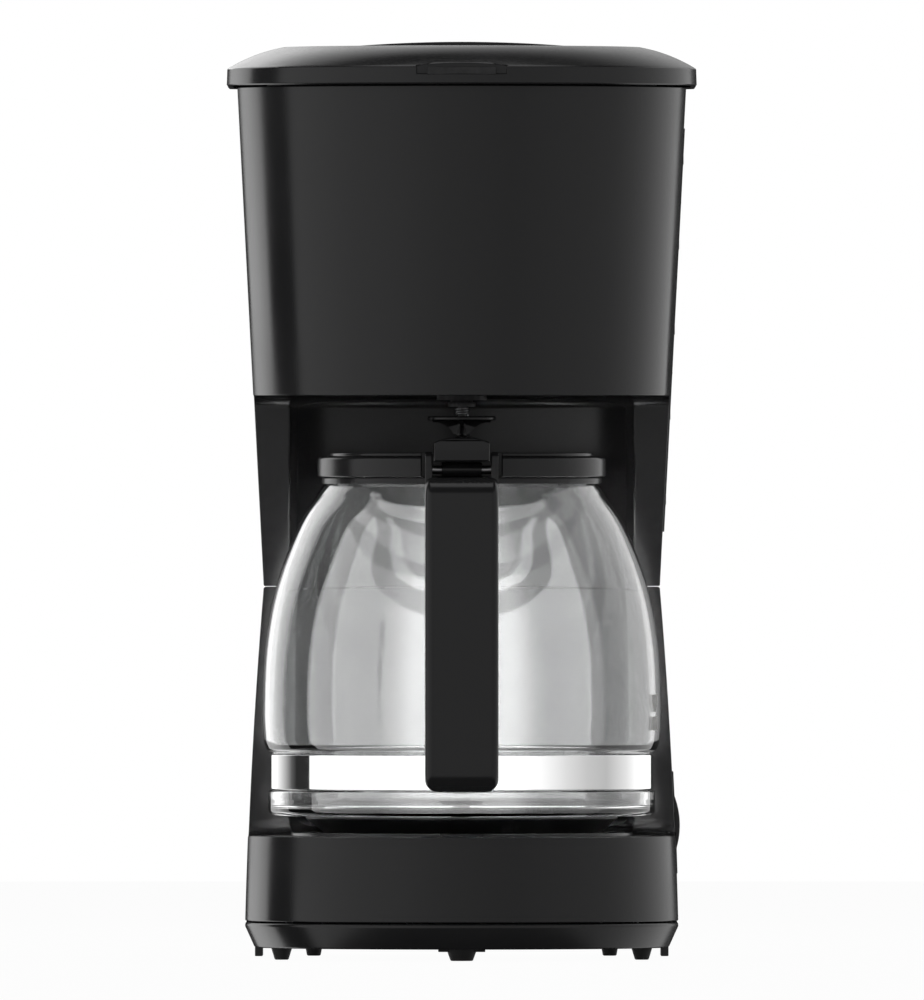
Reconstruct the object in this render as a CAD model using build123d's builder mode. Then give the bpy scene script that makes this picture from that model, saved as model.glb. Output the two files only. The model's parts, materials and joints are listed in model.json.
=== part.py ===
"""Drip coffee maker: two stacked housings, filter hood, heated plate and a glass carafe, as separate pieces.

The frame has +Z up and -Y towards the user. The origin is on the table, under the middle of the whole
object. The carafe, the hood front, the lid front and the warming plate share one upright axis.
"""

from build123d import *
import os

# ---- driving dimensions, millimetres --------------------------------------------------------------
CARAFE_Y = -6.0  # upright axis shared by carafe, plate, basket and the round fronts
BODY_REAR = 122.0  # back face of both housings
CORNER = 14.0  # upright rear corners
WALL = 2.5  # moulded wall of the housings

COVER_BOTTOM = 4.4
COVER_BEVEL = 12.5
SEAM_Z = 14.1  # bottom cover meets base housing
COVER_HALF = 78.9  # half width at the bottom face
BASE_HALF = 82.3
BASE_MID_Z = 60.0
BASE_MID_HALF = 80.7
FLOOR_Z = 46.9  # shelf that carries the plate
PAD_Z = 48.1
PAD_RADIUS = 65.0
WAIST_Z = 141.2  # base housing meets tower housing
WAIST_HALF = 75.5
HOOD_Z = 214.0  # underside of the filter hood
BODY_TOP = 331.3
BODY_TOP_HALF = 85.3
PARTING = 0.4  # visible gap at the seams

BAY_RADIUS = 79.0  # hollow round the carafe
COLUMN_Y = CARAFE_Y + 43.7  # front faces of the two columns
BAY_FLOOR_ROUND = 6.0
BAY_ROOF_ROUND = 5.0

PLATE_TOP = 54.2
PLATE_RADIUS = 60.3
PLATE_FOOT_RADIUS = 52.0
PLATE_HOLE = 49.0
SHEET = 1.2

LID_BOTTOM = 331.7
LID_RIM_TOP = 338.2
LID_CREST = 346.4
LID_HALF = 89.3
LID_CREST_HALF = 67.9
LID_HUMP = 349.7
LID_HUMP_HALF = 58.0
HINGE_Y = 118.0
HINGE_Z = 335.0
HINGE_BARREL = 3.2
HINGE_PIN = 1.5
EAR_X = 59.0
EAR_WIDTH = 6.0

CARAFE_BOTTOM = 54.5
GLASS_BASE_RADIUS = 73.5
BAND_LOW = 64.6
BAND_HIGH = 77.7
BAND_RADIUS = 72.6
BELLY_RADIUS = 75.8
NECK_RADIUS = 51.4
COLLAR_LOW = 179.5
COLLAR_HIGH = 182.8
COLLAR_RADIUS = 53.2
CARAFE_LID_BOTTOM = 183.1
CARAFE_LID_EDGE = 190.9
CARAFE_LID_TOP = 192.3
CARAFE_LID_RADIUS = 54.7
CARAFE_LID_STEP = 50.2
HANDLE_HALF = 13.9
HANDLE_FRONT = CARAFE_Y - 118.0
HANDLE_BOTTOM = 64.2
GRIP_DEPTH = 14.0
LID_PIN_Y = CARAFE_Y - 61.0
LID_PIN_Z = 185.8
LID_PIN_RADIUS = 1.6

WELL_TOP = 317.0
WELL_RADIUS = 76.0
BASKET_TOP = 317.6
BASKET_FLOOR = 224.0
STEM_TIP = 197.6
FOOT_DISC_RADIUS = 13.1
SPRING_LOW = 206.3
SPRING_HIGH = 209.7

TANK_BOTTOM = 150.0
TANK_TOP = 315.0
TUBE_X = 38.0  # half spacing of the heater's two water legs
TUBE_Z = 36.5
RISER_Y = 97.0

SWITCH_Y = 75.0
SWITCH_Z = 50.2
SWITCH_PIVOT_X = 76.5
BEZEL_LOW = 31.9
BEZEL_HIGH = 70.7
BEZEL_WIDTH = 24.0
BRACKET_Y = CARAFE_Y - 20.0
BRACKET_SCREW_X = 56.0

WINDOW_Y = 72.0
WINDOW_WIDTH = 22.0
WINDOW_LOW = 162.3
WINDOW_HIGH = 316.2

SCREW_SPOTS = [(-52, -36), (52, -36), (-66, 60), (66, 60), (-20, 111), (20, 111)]
JOIN_SPOTS = [(-67.0, 113.0), (67.0, 113.0)]  # screws that join the two housings

GLAND_X = -60.0
GLAND_Z = 27.0
CORD_RADIUS = 3.6

RUN = 0.05  # radial clearance of a running fit
GAP = 0.4  # clearance between pieces that move past each other

AXIS_PLANE = Plane.XZ.offset(-CARAFE_Y)  # upright plane through the carafe axis, local x is +X
CARAFE_AXIS = Axis((0, CARAFE_Y, 0), (0, 0, 1))


# ---- shared shapes ---------------------------------------------------------------------------------
def outline_face(points):
    """Flat face inside a closed run of straight lines."""
    with BuildSketch() as face:
        with BuildLine():
            Polyline(*points, close=True)
        make_face()
    return face.sketch_local


def turned(points, centre_y=CARAFE_Y, centre_x=0.0):
    """Solid of revolution about an upright axis, from (radius, height) points."""
    with BuildPart() as form:
        with BuildSketch(Plane.XZ.offset(-centre_y).shift_origin((centre_x, centre_y, 0))):
            add(outline_face(points))
        revolve(axis=Axis((centre_x, centre_y, 0), (0, 0, 1)))
    return form.part


def round_front(section, rear, corner=0.0):
    """Solid with a half-round front about the carafe axis and straight sides back to a flat rear.

    The section is a half outline in (half width, height).
    """
    with BuildPart() as form:
        with BuildSketch(AXIS_PLANE):
            add(section)
        revolve(axis=CARAFE_AXIS)
        with BuildSketch(AXIS_PLANE):
            add(section)
            mirror(about=Plane.YZ)
        extrude(amount=CARAFE_Y - rear)
        if corner:
            rear_edges = form.edges().filter_by(lambda e: abs(e.center().Y - rear) < 0.01)
            left_to_right = rear_edges.sort_by(Axis.X)
            fillet([left_to_right[0], left_to_right[-1]], corner)
    return form.part


def straight_section(low, high):
    """Half outline of a tapering wall between two (half width, height) points."""
    return outline_face([(0, low[1]), low, high, (0, high[1])])


def tower_half(z):
    """Half width of the tower's outside at a height."""
    return WAIST_HALF + (BODY_TOP_HALF - WAIST_HALF) * (z - WAIST_Z) / (BODY_TOP - WAIST_Z)


def tower_section(inset=0.0, low=WAIST_Z + PARTING, high=BODY_TOP):
    """Half outline of the tower between two heights, moved inwards."""
    return straight_section((tower_half(low) - inset, low), (tower_half(high) - inset, high))


def base_section(inset=0.0, overrun=0.0):
    """Half outline of the base, a single long curve that widens towards the table."""
    low = SEAM_Z + PARTING - overrun
    high = WAIST_Z + overrun
    with BuildSketch() as section:
        with BuildLine():
            ThreePointArc(
                (BASE_HALF - inset, low), (BASE_MID_HALF - inset, BASE_MID_Z), (WAIST_HALF - inset, high)
            )
            Polyline((WAIST_HALF - inset, high), (0, high), (0, low), (BASE_HALF - inset, low))
        make_face()
    return section.sketch_local


def carafe_bay(margin=0.0):
    """The hollow that takes the carafe: a round back, open at the front, with rounded floor and roof."""
    floor = FLOOR_Z - margin
    roof = HOOD_Z + margin
    radius = BAY_RADIUS + margin
    middle = (floor + roof) / 2
    with BuildPart() as bay:
        with BuildSketch(AXIS_PLANE) as half:
            with Locations((radius / 2, middle)):
                Rectangle(radius, roof - floor)
            fillet(half.vertices().group_by(Axis.X)[-1].sort_by(Axis.Y)[-1], BAY_ROOF_ROUND + margin)
            fillet(half.vertices().group_by(Axis.X)[-1].sort_by(Axis.Y)[0], BAY_FLOOR_ROUND + margin)
        revolve(axis=CARAFE_AXIS)
        with BuildSketch(Plane.YZ) as side:
            with Locations((COLUMN_Y + margin - BAY_RADIUS, middle)):
                Rectangle(2 * BAY_RADIUS, roof - floor)
            fillet(side.vertices().group_by(Axis.X)[-1].sort_by(Axis.Y)[-1], BAY_ROOF_ROUND + margin)
            fillet(side.vertices().group_by(Axis.X)[-1].sort_by(Axis.Y)[0], BAY_FLOOR_ROUND + margin)
        extrude(amount=LID_HALF + WALL, both=True)
    return bay.part


def straight_screw(x, y, head_z, head_radius=3.4, shank_radius=1.5, length=12.0):
    """Pan-head screw driven upwards, its head's lower face at head_z."""
    head = 2.2
    profile = [
        (0, head_z),
        (head_radius - 0.6, head_z),
        (head_radius, head_z + 0.8),
        (head_radius, head_z + head),
        (shank_radius, head_z + head),
        (shank_radius, head_z + length),
        (0, head_z + length + 1.0),
    ]
    return turned(profile, y, x)


def tube_run(x, y_up, z_top, z_low, y_end, outer, inner, bend=12.0):
    """Hose that comes down, turns through a round elbow and runs level towards the front."""
    with BuildPart() as hose:
        with BuildLine():
            FilletPolyline((x, y_up, z_top), (x, y_up, z_low), (x, y_end, z_low), radius=bend)
        with BuildSketch(Plane((x, y_up, z_top), z_dir=(0, 0, -1))):
            Circle(outer)
            Circle(inner, mode=Mode.SUBTRACT)
        sweep()
    return hose.part


def u_bar(radius, section, z, leg, bore=0.0):
    """Round bar bent into a U that opens to the rear, optionally hollow."""
    with BuildPart() as bar:
        with BuildLine():
            right = Line((radius, CARAFE_Y + leg, z), (radius, CARAFE_Y, z))
            ThreePointArc((radius, CARAFE_Y, z), (0, CARAFE_Y - radius, z), (-radius, CARAFE_Y, z))
            Line((-radius, CARAFE_Y, z), (-radius, CARAFE_Y + leg, z))
        with BuildSketch(Plane(right @ 0, z_dir=right % 0)):
            Circle(section)
            if bore:
                Circle(bore, mode=Mode.SUBTRACT)
        sweep()
    return bar.part


def save(piece, name):
    """Label a finished piece and write its STEP file."""
    piece.part.label = name
    export_step(piece.part, f"parts/{name}.step")


os.makedirs("parts", exist_ok=True)
bay = carafe_bay()
grown_bay = carafe_bay(WALL)

# ---- tower housing: two columns, back wall and hood ------------------------------------------------
tower_outer = round_front(tower_section(), BODY_REAR, CORNER)
tower_inner = round_front(tower_section(WALL, WAIST_Z - 1, BODY_TOP + 1), BODY_REAR - WALL, CORNER - WALL)
window_middle = (WINDOW_LOW + WINDOW_HIGH) / 2
OUTLET_HOLE = 13.6  # lets the drip stop through

JOIN_BOSS = 6.0
JOIN_BOSS_TOP = 149.4
JOIN_BOSS_LOW = 128.0

with BuildPart() as tower_void:
    add(tower_inner)
    add(grown_bay, mode=Mode.SUBTRACT)
    with Locations(*[(x, y, (WAIST_Z + JOIN_BOSS_TOP) / 2 - 1) for x, y in JOIN_SPOTS]):
        Cylinder(JOIN_BOSS, JOIN_BOSS_TOP - WAIST_Z + 2, mode=Mode.SUBTRACT)

with BuildPart() as tower_housing:
    add(tower_outer)
    add(bay, mode=Mode.SUBTRACT)
    add(tower_void.part, mode=Mode.SUBTRACT)
    with Locations((0, CARAFE_Y, HOOD_Z)):
        Cylinder(OUTLET_HOLE, 4 * WALL, mode=Mode.SUBTRACT)
    with Locations((BODY_TOP_HALF, WINDOW_Y, window_middle)):
        Box(30, WINDOW_WIDTH + 0.2, WINDOW_HIGH - WINDOW_LOW + 0.2, mode=Mode.SUBTRACT)
    for side in (-1, 1):
        with BuildSketch(Plane.YZ.offset(side * EAR_X)):
            with Locations((HINGE_Y, HINGE_Z)):
                Circle(HINGE_BARREL)
            with Locations((HINGE_Y - 0.35, HINGE_Z - 6)):
                Rectangle(2 * HINGE_BARREL - 0.7, 12)
            with Locations((HINGE_Y + 0.35, BODY_TOP - 6)):
                Rectangle(2 * HINGE_BARREL - 0.7, 9)
            with Locations((HINGE_Y, HINGE_Z)):
                Circle(HINGE_PIN + 0.02, mode=Mode.SUBTRACT)
        extrude(amount=EAR_WIDTH / 2, both=True)
    with Locations(*[(x, y, WAIST_Z) for x, y in JOIN_SPOTS]):
        Cylinder(1.7, 2 * (JOIN_BOSS_TOP - WAIST_Z) - 0.8, mode=Mode.SUBTRACT)
save(tower_housing, "tower_housing")

# ---- base housing: plate shelf and the feet of the two columns ------------------------------------
base_outer = round_front(base_section(), BODY_REAR, CORNER)
base_inner = round_front(base_section(WALL, 1.0), BODY_REAR - WALL, CORNER - WALL)
BOSS_LOW = 14.6
BOSS_HEIGHT = 30.2
BOSS_RADIUS = 4.2
bezel_height = BEZEL_HIGH - BEZEL_LOW
bezel_middle = (BEZEL_HIGH + BEZEL_LOW) / 2

with BuildPart() as base_void:
    add(base_inner)
    add(grown_bay, mode=Mode.SUBTRACT)
    with Locations(*[(x, y, (JOIN_BOSS_LOW + WAIST_Z) / 2 + 1) for x, y in JOIN_SPOTS]):
        Cylinder(JOIN_BOSS, WAIST_Z - JOIN_BOSS_LOW + 2, mode=Mode.SUBTRACT)
    for x, y in SCREW_SPOTS:
        with Locations((x, y, BOSS_LOW + BOSS_HEIGHT / 2)):
            Cylinder(BOSS_RADIUS, BOSS_HEIGHT, mode=Mode.SUBTRACT)
        if abs(x) > 60:
            with Locations((x + (8 if x > 0 else -8), y, BOSS_LOW + BOSS_HEIGHT / 2)):
                Box(16, 2, BOSS_HEIGHT, mode=Mode.SUBTRACT)
        elif y > 100:
            with Locations((x, y + 5, BOSS_LOW + BOSS_HEIGHT / 2)):
                Box(2, 10, BOSS_HEIGHT, mode=Mode.SUBTRACT)

with BuildPart() as base_housing:
    add(base_outer)
    add(bay, mode=Mode.SUBTRACT)
    with BuildSketch(Plane.XY.offset(FLOOR_Z - WALL)):
        with Locations((0, CARAFE_Y)):
            Circle(PAD_RADIUS)
    extrude(amount=PAD_Z - FLOOR_Z + WALL)
    add(base_void.part, mode=Mode.SUBTRACT)
    with Locations((0, CARAFE_Y, PAD_Z)):
        Cylinder(PLATE_HOLE, 10, mode=Mode.SUBTRACT)
    with Locations((0, CARAFE_Y - PAD_RADIUS, PAD_Z)):
        Box(16, 10, 3, mode=Mode.SUBTRACT)
    with Locations((BASE_HALF, SWITCH_Y, bezel_middle)):
        Box(20, BEZEL_WIDTH - 4, bezel_height - 4, mode=Mode.SUBTRACT)
    with Locations(Location((GLAND_X, BODY_REAR, GLAND_Z), (90, 0, 0))):
        Cylinder(6.0, 12, mode=Mode.SUBTRACT)
    with Locations(*[(x, y, BOSS_LOW) for x, y in SCREW_SPOTS]):
        Cylinder(1.7, 16, mode=Mode.SUBTRACT)
    with Locations(*[(x, y, WAIST_Z) for x, y in JOIN_SPOTS]):
        Cylinder(1.8, 60, mode=Mode.SUBTRACT)
    with Locations(*[(side * BRACKET_SCREW_X, BRACKET_Y, FLOOR_Z - WALL) for side in (-1, 1)]):
        Cylinder(1.7, 5, mode=Mode.SUBTRACT)
save(base_housing, "base_housing")

# ---- bottom cover, feet and its screws -------------------------------------------------------------
BEVEL_LEAN = 22.8  # degrees from upright


def plan(half, rear, corner):
    """Plan outline with a half-round front, straight sides and rounded rear corners."""
    with BuildSketch() as outline:
        with Locations((0, CARAFE_Y)):
            Circle(half)
        with Locations((0, (CARAFE_Y + rear) / 2)):
            Rectangle(2 * half, rear - CARAFE_Y)
        fillet(outline.vertices().group_by(Axis.Y)[-1], corner)
    return outline.sketch_local


def tray(inset, floor, top):
    """Shallow tray form whose lower wall leans in."""
    with BuildPart() as form:
        with BuildSketch(Plane.XY.offset(COVER_BEVEL)):
            add(plan(BASE_HALF - inset, BODY_REAR - inset, CORNER - inset))
        extrude(amount=top - COVER_BEVEL)
        with BuildSketch(Plane.XY.offset(COVER_BEVEL)):
            add(plan(BASE_HALF - inset, BODY_REAR - inset, CORNER - inset))
        extrude(amount=floor - COVER_BEVEL, taper=BEVEL_LEAN)
    return form.part


cover_shell = tray(0.0, COVER_BOTTOM, SEAM_Z)
cover_space = tray(WALL, COVER_BOTTOM + WALL, SEAM_Z + 1)
RIB_X = 77.4
VENT_COUNT = 7

with BuildPart() as bottom_cover:
    add(cover_shell)
    add(cover_space, mode=Mode.SUBTRACT)
    with BuildSketch(Plane.XY.offset(COVER_BOTTOM - 1)):
        with Locations((0, CARAFE_Y + 8)):
            with GridLocations(9, 1, VENT_COUNT, 1):
                SlotOverall(34, 3.2, rotation=90)
    extrude(amount=WALL + 3, mode=Mode.SUBTRACT)
    with Locations(*[(x, y, COVER_BOTTOM + WALL + 3) for x, y in SCREW_SPOTS]):
        Cylinder(4.5, 6 + WALL)
    with Locations(*[(x, y, COVER_BOTTOM) for x, y in SCREW_SPOTS]):
        Cylinder(3.8, 6, mode=Mode.SUBTRACT)
        Cylinder(1.8, 40, mode=Mode.SUBTRACT)
    with Locations((-RIB_X, 66, 3.4), (RIB_X, 66, 3.4)):
        Box(3.0, 30, 6.0)
save(bottom_cover, "bottom_cover")

with BuildPart() as cover_screws:
    for x, y in SCREW_SPOTS:
        add(straight_screw(x, y, COVER_BOTTOM + 0.75))
save(cover_screws, "cover_screws")


def foot(x, y, top_radius, bottom_radius):
    """Moulded rubber foot with a rounded tread."""
    top = COVER_BOTTOM
    profile = [(0, 0), (bottom_radius - 0.8, 0), (bottom_radius, 0.6), (top_radius, top), (0, top)]
    return turned(profile, y, x)


with BuildPart() as side_feet:
    for side in (-1, 1):
        add(foot(side * 68.3, CARAFE_Y - 24, 3.95, 2.6))
save(side_feet, "side_feet")

with BuildPart() as centre_foot:
    add(foot(0, CARAFE_Y - 64, 5.8, 4.2))
    with Locations((0, CARAFE_Y - 64, COVER_BOTTOM - 0.5)):
        Box(17.8, 6, 1.0)
save(centre_foot, "centre_foot")

with BuildPart() as rear_feet:
    for side in (-1, 1):
        add(foot(side * 56.6, 100, 3.4, 2.6))
save(rear_feet, "rear_feet")

# ---- warming plate and heater ----------------------------------------------------------------------
PLATE_SEAT = PAD_Z + 0.1
warming_profile = [
    (0, PLATE_TOP),
    (PLATE_RADIUS - 0.6, PLATE_TOP),
    (PLATE_RADIUS, PLATE_TOP - 0.5),
    (PLATE_FOOT_RADIUS, PLATE_SEAT),
    (PLATE_FOOT_RADIUS - 1.6, PLATE_SEAT),
    (PLATE_RADIUS - 2.6, PLATE_TOP - SHEET),
    (0, PLATE_TOP - SHEET),
]
with BuildPart() as warming_plate:
    add(turned(warming_profile))
save(warming_plate, "warming_plate")

with BuildPart() as plate_seal:
    add(
        turned(
            [
                (PLATE_HOLE - 2.4, PAD_Z - 3.6),
                (PLATE_HOLE - 0.1, PAD_Z - 3.6),
                (PLATE_HOLE - 0.1, PAD_Z + 0.2),
                (PLATE_HOLE + 1.2, PAD_Z + 0.2),
                (PLATE_HOLE + 2.2, PAD_Z + 1.4),
                (PLATE_HOLE - 2.4, PAD_Z + 1.4),
            ]
        )
    )
save(plate_seal, "plate_seal")

HEATER_TOP = PLATE_TOP - SHEET
HEATER_LOW = 31.0
ELEMENT_RADIUS = 26.0
ELEMENT_Z = 40.0
water_path = u_bar(TUBE_X, 4.6, TUBE_Z, 60)
element_path = u_bar(ELEMENT_RADIUS, 3.3, ELEMENT_Z, 60)
with BuildPart() as heater_block:
    with BuildSketch(Plane.XY.offset(HEATER_LOW)):
        with Locations((0, CARAFE_Y)):
            SlotOverall(2 * 44 + 0.01, 2 * 44)
        with Locations((0, CARAFE_Y)):
            Circle(21.0, mode=Mode.SUBTRACT)
        with Locations((0, CARAFE_Y + 40)):
            Rectangle(42, 80, mode=Mode.SUBTRACT)
        with Locations((0, CARAFE_Y + 50)):
            Rectangle(100, 70, mode=Mode.SUBTRACT)
    extrude(amount=HEATER_TOP - HEATER_LOW)
    add(water_path, mode=Mode.SUBTRACT)
    add(element_path, mode=Mode.SUBTRACT)
save(heater_block, "heater_block")

with BuildPart() as heater_tube:
    add(u_bar(TUBE_X, 4.6, TUBE_Z, 60, bore=3.7))
save(heater_tube, "heater_tube")

element_ends = [
    Location((x, CARAFE_Y + 35, ELEMENT_Z), (90, 0, 0)) for x in (-ELEMENT_RADIUS, ELEMENT_RADIUS)
]
with BuildPart() as heating_element:
    add(u_bar(ELEMENT_RADIUS, 3.3, ELEMENT_Z, 30))
    with Locations(*element_ends):
        Cylinder(1.2, 12)
save(heating_element, "heating_element")

STRAP = 1.2
STRAP_TOP = HEATER_LOW - 0.1
SHELF_UNDER = FLOOR_Z - WALL
strap_outline = [
    (-62, SHELF_UNDER - 0.1),
    (-50, SHELF_UNDER - 0.1),
    (-50, STRAP_TOP),
    (50, STRAP_TOP),
    (50, SHELF_UNDER - 0.1),
    (62, SHELF_UNDER - 0.1),
    (62, SHELF_UNDER - 0.1 - STRAP),
    (50 + STRAP, SHELF_UNDER - 0.1 - STRAP),
    (50 + STRAP, STRAP_TOP - STRAP),
    (-50 - STRAP, STRAP_TOP - STRAP),
    (-50 - STRAP, SHELF_UNDER - 0.1 - STRAP),
    (-62, SHELF_UNDER - 0.1 - STRAP),
]
with BuildPart() as heater_bracket:
    with BuildSketch(Plane.XZ.offset(-BRACKET_Y)):
        add(outline_face(strap_outline))
    extrude(amount=5, both=True)
    with Locations(*[(side * BRACKET_SCREW_X, BRACKET_Y, SHELF_UNDER) for side in (-1, 1)]):
        Cylinder(1.8, 10, mode=Mode.SUBTRACT)
save(heater_bracket, "heater_bracket")

with BuildPart() as bracket_screws:
    for side in (-1, 1):
        screw_z = SHELF_UNDER - 0.15 - STRAP - 2.2
        add(straight_screw(side * BRACKET_SCREW_X, BRACKET_Y, screw_z, 3.0, 1.5, 4.6))
save(bracket_screws, "bracket_screws")

with BuildPart() as thermostat:
    with Locations((0, CARAFE_Y - 35, HEATER_LOW - 3.6)):
        Cylinder(7.3, 7.0)
    with Locations((0, CARAFE_Y - 35, HEATER_LOW - 7.8)):
        Cylinder(4.5, 1.4)
    with Locations((-3, CARAFE_Y - 35, HEATER_LOW - 10.5), (3, CARAFE_Y - 35, HEATER_LOW - 10.5)):
        Box(1.0, 5.0, 4.5)
save(thermostat, "thermostat")

with BuildPart() as thermal_fuses:
    with Locations(*[Location((x, CARAFE_Y + 7, HEATER_LOW - 2.4), (0, 90, 0)) for x in (-33, 33)]):
        Cylinder(2.2, 14)
save(thermal_fuses, "thermal_fuses")

# ---- water path -------------------------------------------------------------------------------------
TANK_INSET = WALL + 0.5
TANK_WALL = 2.0


def tank_form(extra, bottom, top):
    """Form of the water tank, moved in by extra: it fills the tower behind and beside the bay."""
    inset = TANK_INSET + extra
    with BuildPart() as form:
        add(round_front(tower_section(inset, bottom, top), BODY_REAR - inset, CORNER - inset))
        with Locations((0, CARAFE_Y, (bottom + top) / 2)):
            Cylinder(BAY_RADIUS + WALL + 0.6 + extra, top - bottom + 10, mode=Mode.SUBTRACT)
        with Locations((0, COLUMN_Y + TANK_INSET + extra - 100, (bottom + top) / 2)):
            Box(240, 200, top - bottom + 10, mode=Mode.SUBTRACT)
    return form.part


SPIGOT = 4.6
SPIGOT_LOW = 134.0
SPIGOT_BORE = 3.4
tank_outer = tank_form(0.0, TANK_BOTTOM, TANK_TOP)
tank_space = tank_form(TANK_WALL, TANK_BOTTOM + WALL, TANK_TOP + 1)
with BuildPart() as water_tank:
    add(tank_outer)
    add(tank_space, mode=Mode.SUBTRACT)
    with Locations((TUBE_X, RISER_Y, (SPIGOT_LOW + TANK_BOTTOM + 1) / 2)):
        Cylinder(SPIGOT, TANK_BOTTOM + 1 - SPIGOT_LOW)
    with Locations((TUBE_X, RISER_Y, TANK_BOTTOM)):
        Cylinder(SPIGOT_BORE, 60, mode=Mode.SUBTRACT)
    with Locations((-TUBE_X, RISER_Y, TANK_BOTTOM)):
        Cylinder(6.6, 20, mode=Mode.SUBTRACT)
save(water_tank, "water_tank")

with BuildPart() as tank_grommet:
    add(
        turned(
            [
                (SPIGOT + 0.05, TANK_BOTTOM - 0.6),
                (6.5, TANK_BOTTOM - 0.6),
                (6.5, TANK_BOTTOM + WALL + 0.1),
                (8.4, TANK_BOTTOM + WALL + 0.1),
                (7.6, TANK_BOTTOM + WALL + 2.0),
                (SPIGOT + 0.05, TANK_BOTTOM + WALL + 2.0),
            ],
            RISER_Y,
            -TUBE_X,
        )
    )
save(tank_grommet, "tank_grommet")

with BuildPart() as check_valve:
    add(
        turned(
            [
                (1.6, 138.0),
                (SPIGOT_BORE - 0.05, 140.0),
                (SPIGOT_BORE - 0.05, TANK_BOTTOM + WALL + 0.1),
                (6.0, TANK_BOTTOM + WALL + 0.1),
                (6.0, TANK_BOTTOM + WALL + 1.5),
                (2.2, TANK_BOTTOM + WALL + 1.5),
                (2.2, 142.0),
                (0.8, 138.0),
            ],
            RISER_Y,
            TUBE_X,
        )
    )
save(check_valve, "check_valve")

RISER_TOP = 304.8
with BuildPart() as riser_tube:
    with Locations((-TUBE_X, RISER_Y, (SPIGOT_LOW + RISER_TOP) / 2)):
        Cylinder(SPIGOT, RISER_TOP - SPIGOT_LOW)
        Cylinder(SPIGOT - 0.9, RISER_TOP - SPIGOT_LOW + 2, mode=Mode.SUBTRACT)
save(riser_tube, "riser_tube")

HOSE = 6.4
HOSE_END_Y = 42.0
HOSE_TOP = 147.0
for name, x in (("cold_hose", TUBE_X), ("hot_hose", -TUBE_X)):
    with BuildPart() as hose:
        add(tube_run(x, RISER_Y, HOSE_TOP, TUBE_Z, HOSE_END_Y, HOSE, SPIGOT + 0.02))
    save(hose, name)

with BuildPart() as hose_clamps:
    for x in (-TUBE_X, TUBE_X):
        with Locations((x, RISER_Y, 140.0), Location((x, 49.0, TUBE_Z), (90, 0, 0))):
            Cylinder(HOSE + 1.0, 6)
            Cylinder(HOSE + 0.02, 8, mode=Mode.SUBTRACT)
save(hose_clamps, "hose_clamps")

SPOUT_Y = 84.0
SPOUT_Z = 319.0
SPOUT_BORE = 3.5
SPOUT_BEND = 5.2
SOCKET_RADIUS = 6.0
SOCKET_DEPTH = 4.5


def spout_run(radius, low, high):
    """Round bar along the spout: up from the riser, over to the middle and up into the lid."""
    with BuildPart() as bar:
        with BuildLine():
            FilletPolyline(
                (-TUBE_X, RISER_Y, low),
                (-TUBE_X, RISER_Y, SPOUT_Z),
                (0, SPOUT_Y, SPOUT_Z),
                (0, SPOUT_Y, high),
                radius=SPOUT_BEND,
            )
        with BuildSketch(Plane.XY.offset(low)):
            with Locations((-TUBE_X, RISER_Y)):
                Circle(radius)
        sweep()
    return bar.part


with BuildPart() as spout_elbow:
    add(spout_run(SPIGOT - 0.1, RISER_TOP + 1, SPOUT_Z + 7))
    with Locations((-TUBE_X, RISER_Y, RISER_TOP)):
        Cylinder(SOCKET_RADIUS, 2 * SOCKET_DEPTH)
    add(spout_run(SPOUT_BORE, RISER_TOP - 1, SPOUT_Z + 8), mode=Mode.SUBTRACT)
    with Locations((-TUBE_X, RISER_Y, RISER_TOP - SOCKET_DEPTH)):
        Cylinder(SPIGOT + 0.02, 2 * SOCKET_DEPTH, mode=Mode.SUBTRACT)
save(spout_elbow, "spout_elbow")

# ---- water window on the right side ---------------------------------------------------------------
WINDOW_PROUD = 0.7
window_box = (BODY_TOP_HALF, WINDOW_Y, window_middle)
with BuildPart() as water_window:
    add(round_front(tower_section(-WINDOW_PROUD), BODY_REAR))
    with Locations(window_box):
        Box(30, WINDOW_WIDTH, WINDOW_HIGH - WINDOW_LOW, mode=Mode.INTERSECT)
    add(tower_inner, mode=Mode.SUBTRACT)
save(water_window, "water_window")

# ---- filter basket and drip stop --------------------------------------------------------------------
well_profile = [
    (OUTLET_HOLE, HOOD_Z + WALL + 0.1),
    (OUTLET_HOLE + 2.0, HOOD_Z + WALL + 0.1),
    (OUTLET_HOLE + 2.0, 219.0),
    (62.0, 219.0),
    (74.6, 312.0),
    (WELL_RADIUS, 312.2),
    (WELL_RADIUS, WELL_TOP),
    (74.9, WELL_TOP),
    (74.9, 314.2),
    (72.7, 314.2),
    (60.2, 221.0),
    (OUTLET_HOLE, 221.0),
]
with BuildPart() as basket_well:
    add(turned(well_profile))
save(basket_well, "basket_well")

STEM_BORE = 2.2
OUTLET_RADIUS = 9.5
OUTLET_LOW = 212.4
basket_profile = [
    (STEM_BORE, SPRING_HIGH + 0.1),
    (5.3, SPRING_HIGH + 0.1),
    (5.3, 211.5),
    (4.2, 211.6),
    (4.2, OUTLET_LOW),
    (OUTLET_RADIUS, OUTLET_LOW),
    (OUTLET_RADIUS, BASKET_FLOOR),
    (56.0, BASKET_FLOOR),
    (58.6, 226.5),
    (71.4, 314.5),
    (74.4, 314.5),
    (74.4, BASKET_TOP),
    (69.6, BASKET_TOP),
    (56.4, BASKET_FLOOR + 2.2),
    (STEM_BORE, BASKET_FLOOR + 2.0),
]
with BuildPart() as filter_basket:
    add(turned(basket_profile))
save(filter_basket, "filter_basket")

FILTER_FLOOR = 233.4  # clear of the drip stop's head when it is lifted
filter_profile = [
    (0, FILTER_FLOOR),
    (54.8, FILTER_FLOOR),
    (55.4, FILTER_FLOOR + 0.6),
    (66.2, 311.0),
    (68.4, 311.0),
    (68.4, 313.6),
    (65.6, 313.6),
    (54.4, FILTER_FLOOR + 1.0),
    (0, FILTER_FLOOR + 1.0),
]
with BuildPart() as reusable_filter:
    add(turned(filter_profile))
save(reusable_filter, "reusable_filter")

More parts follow.
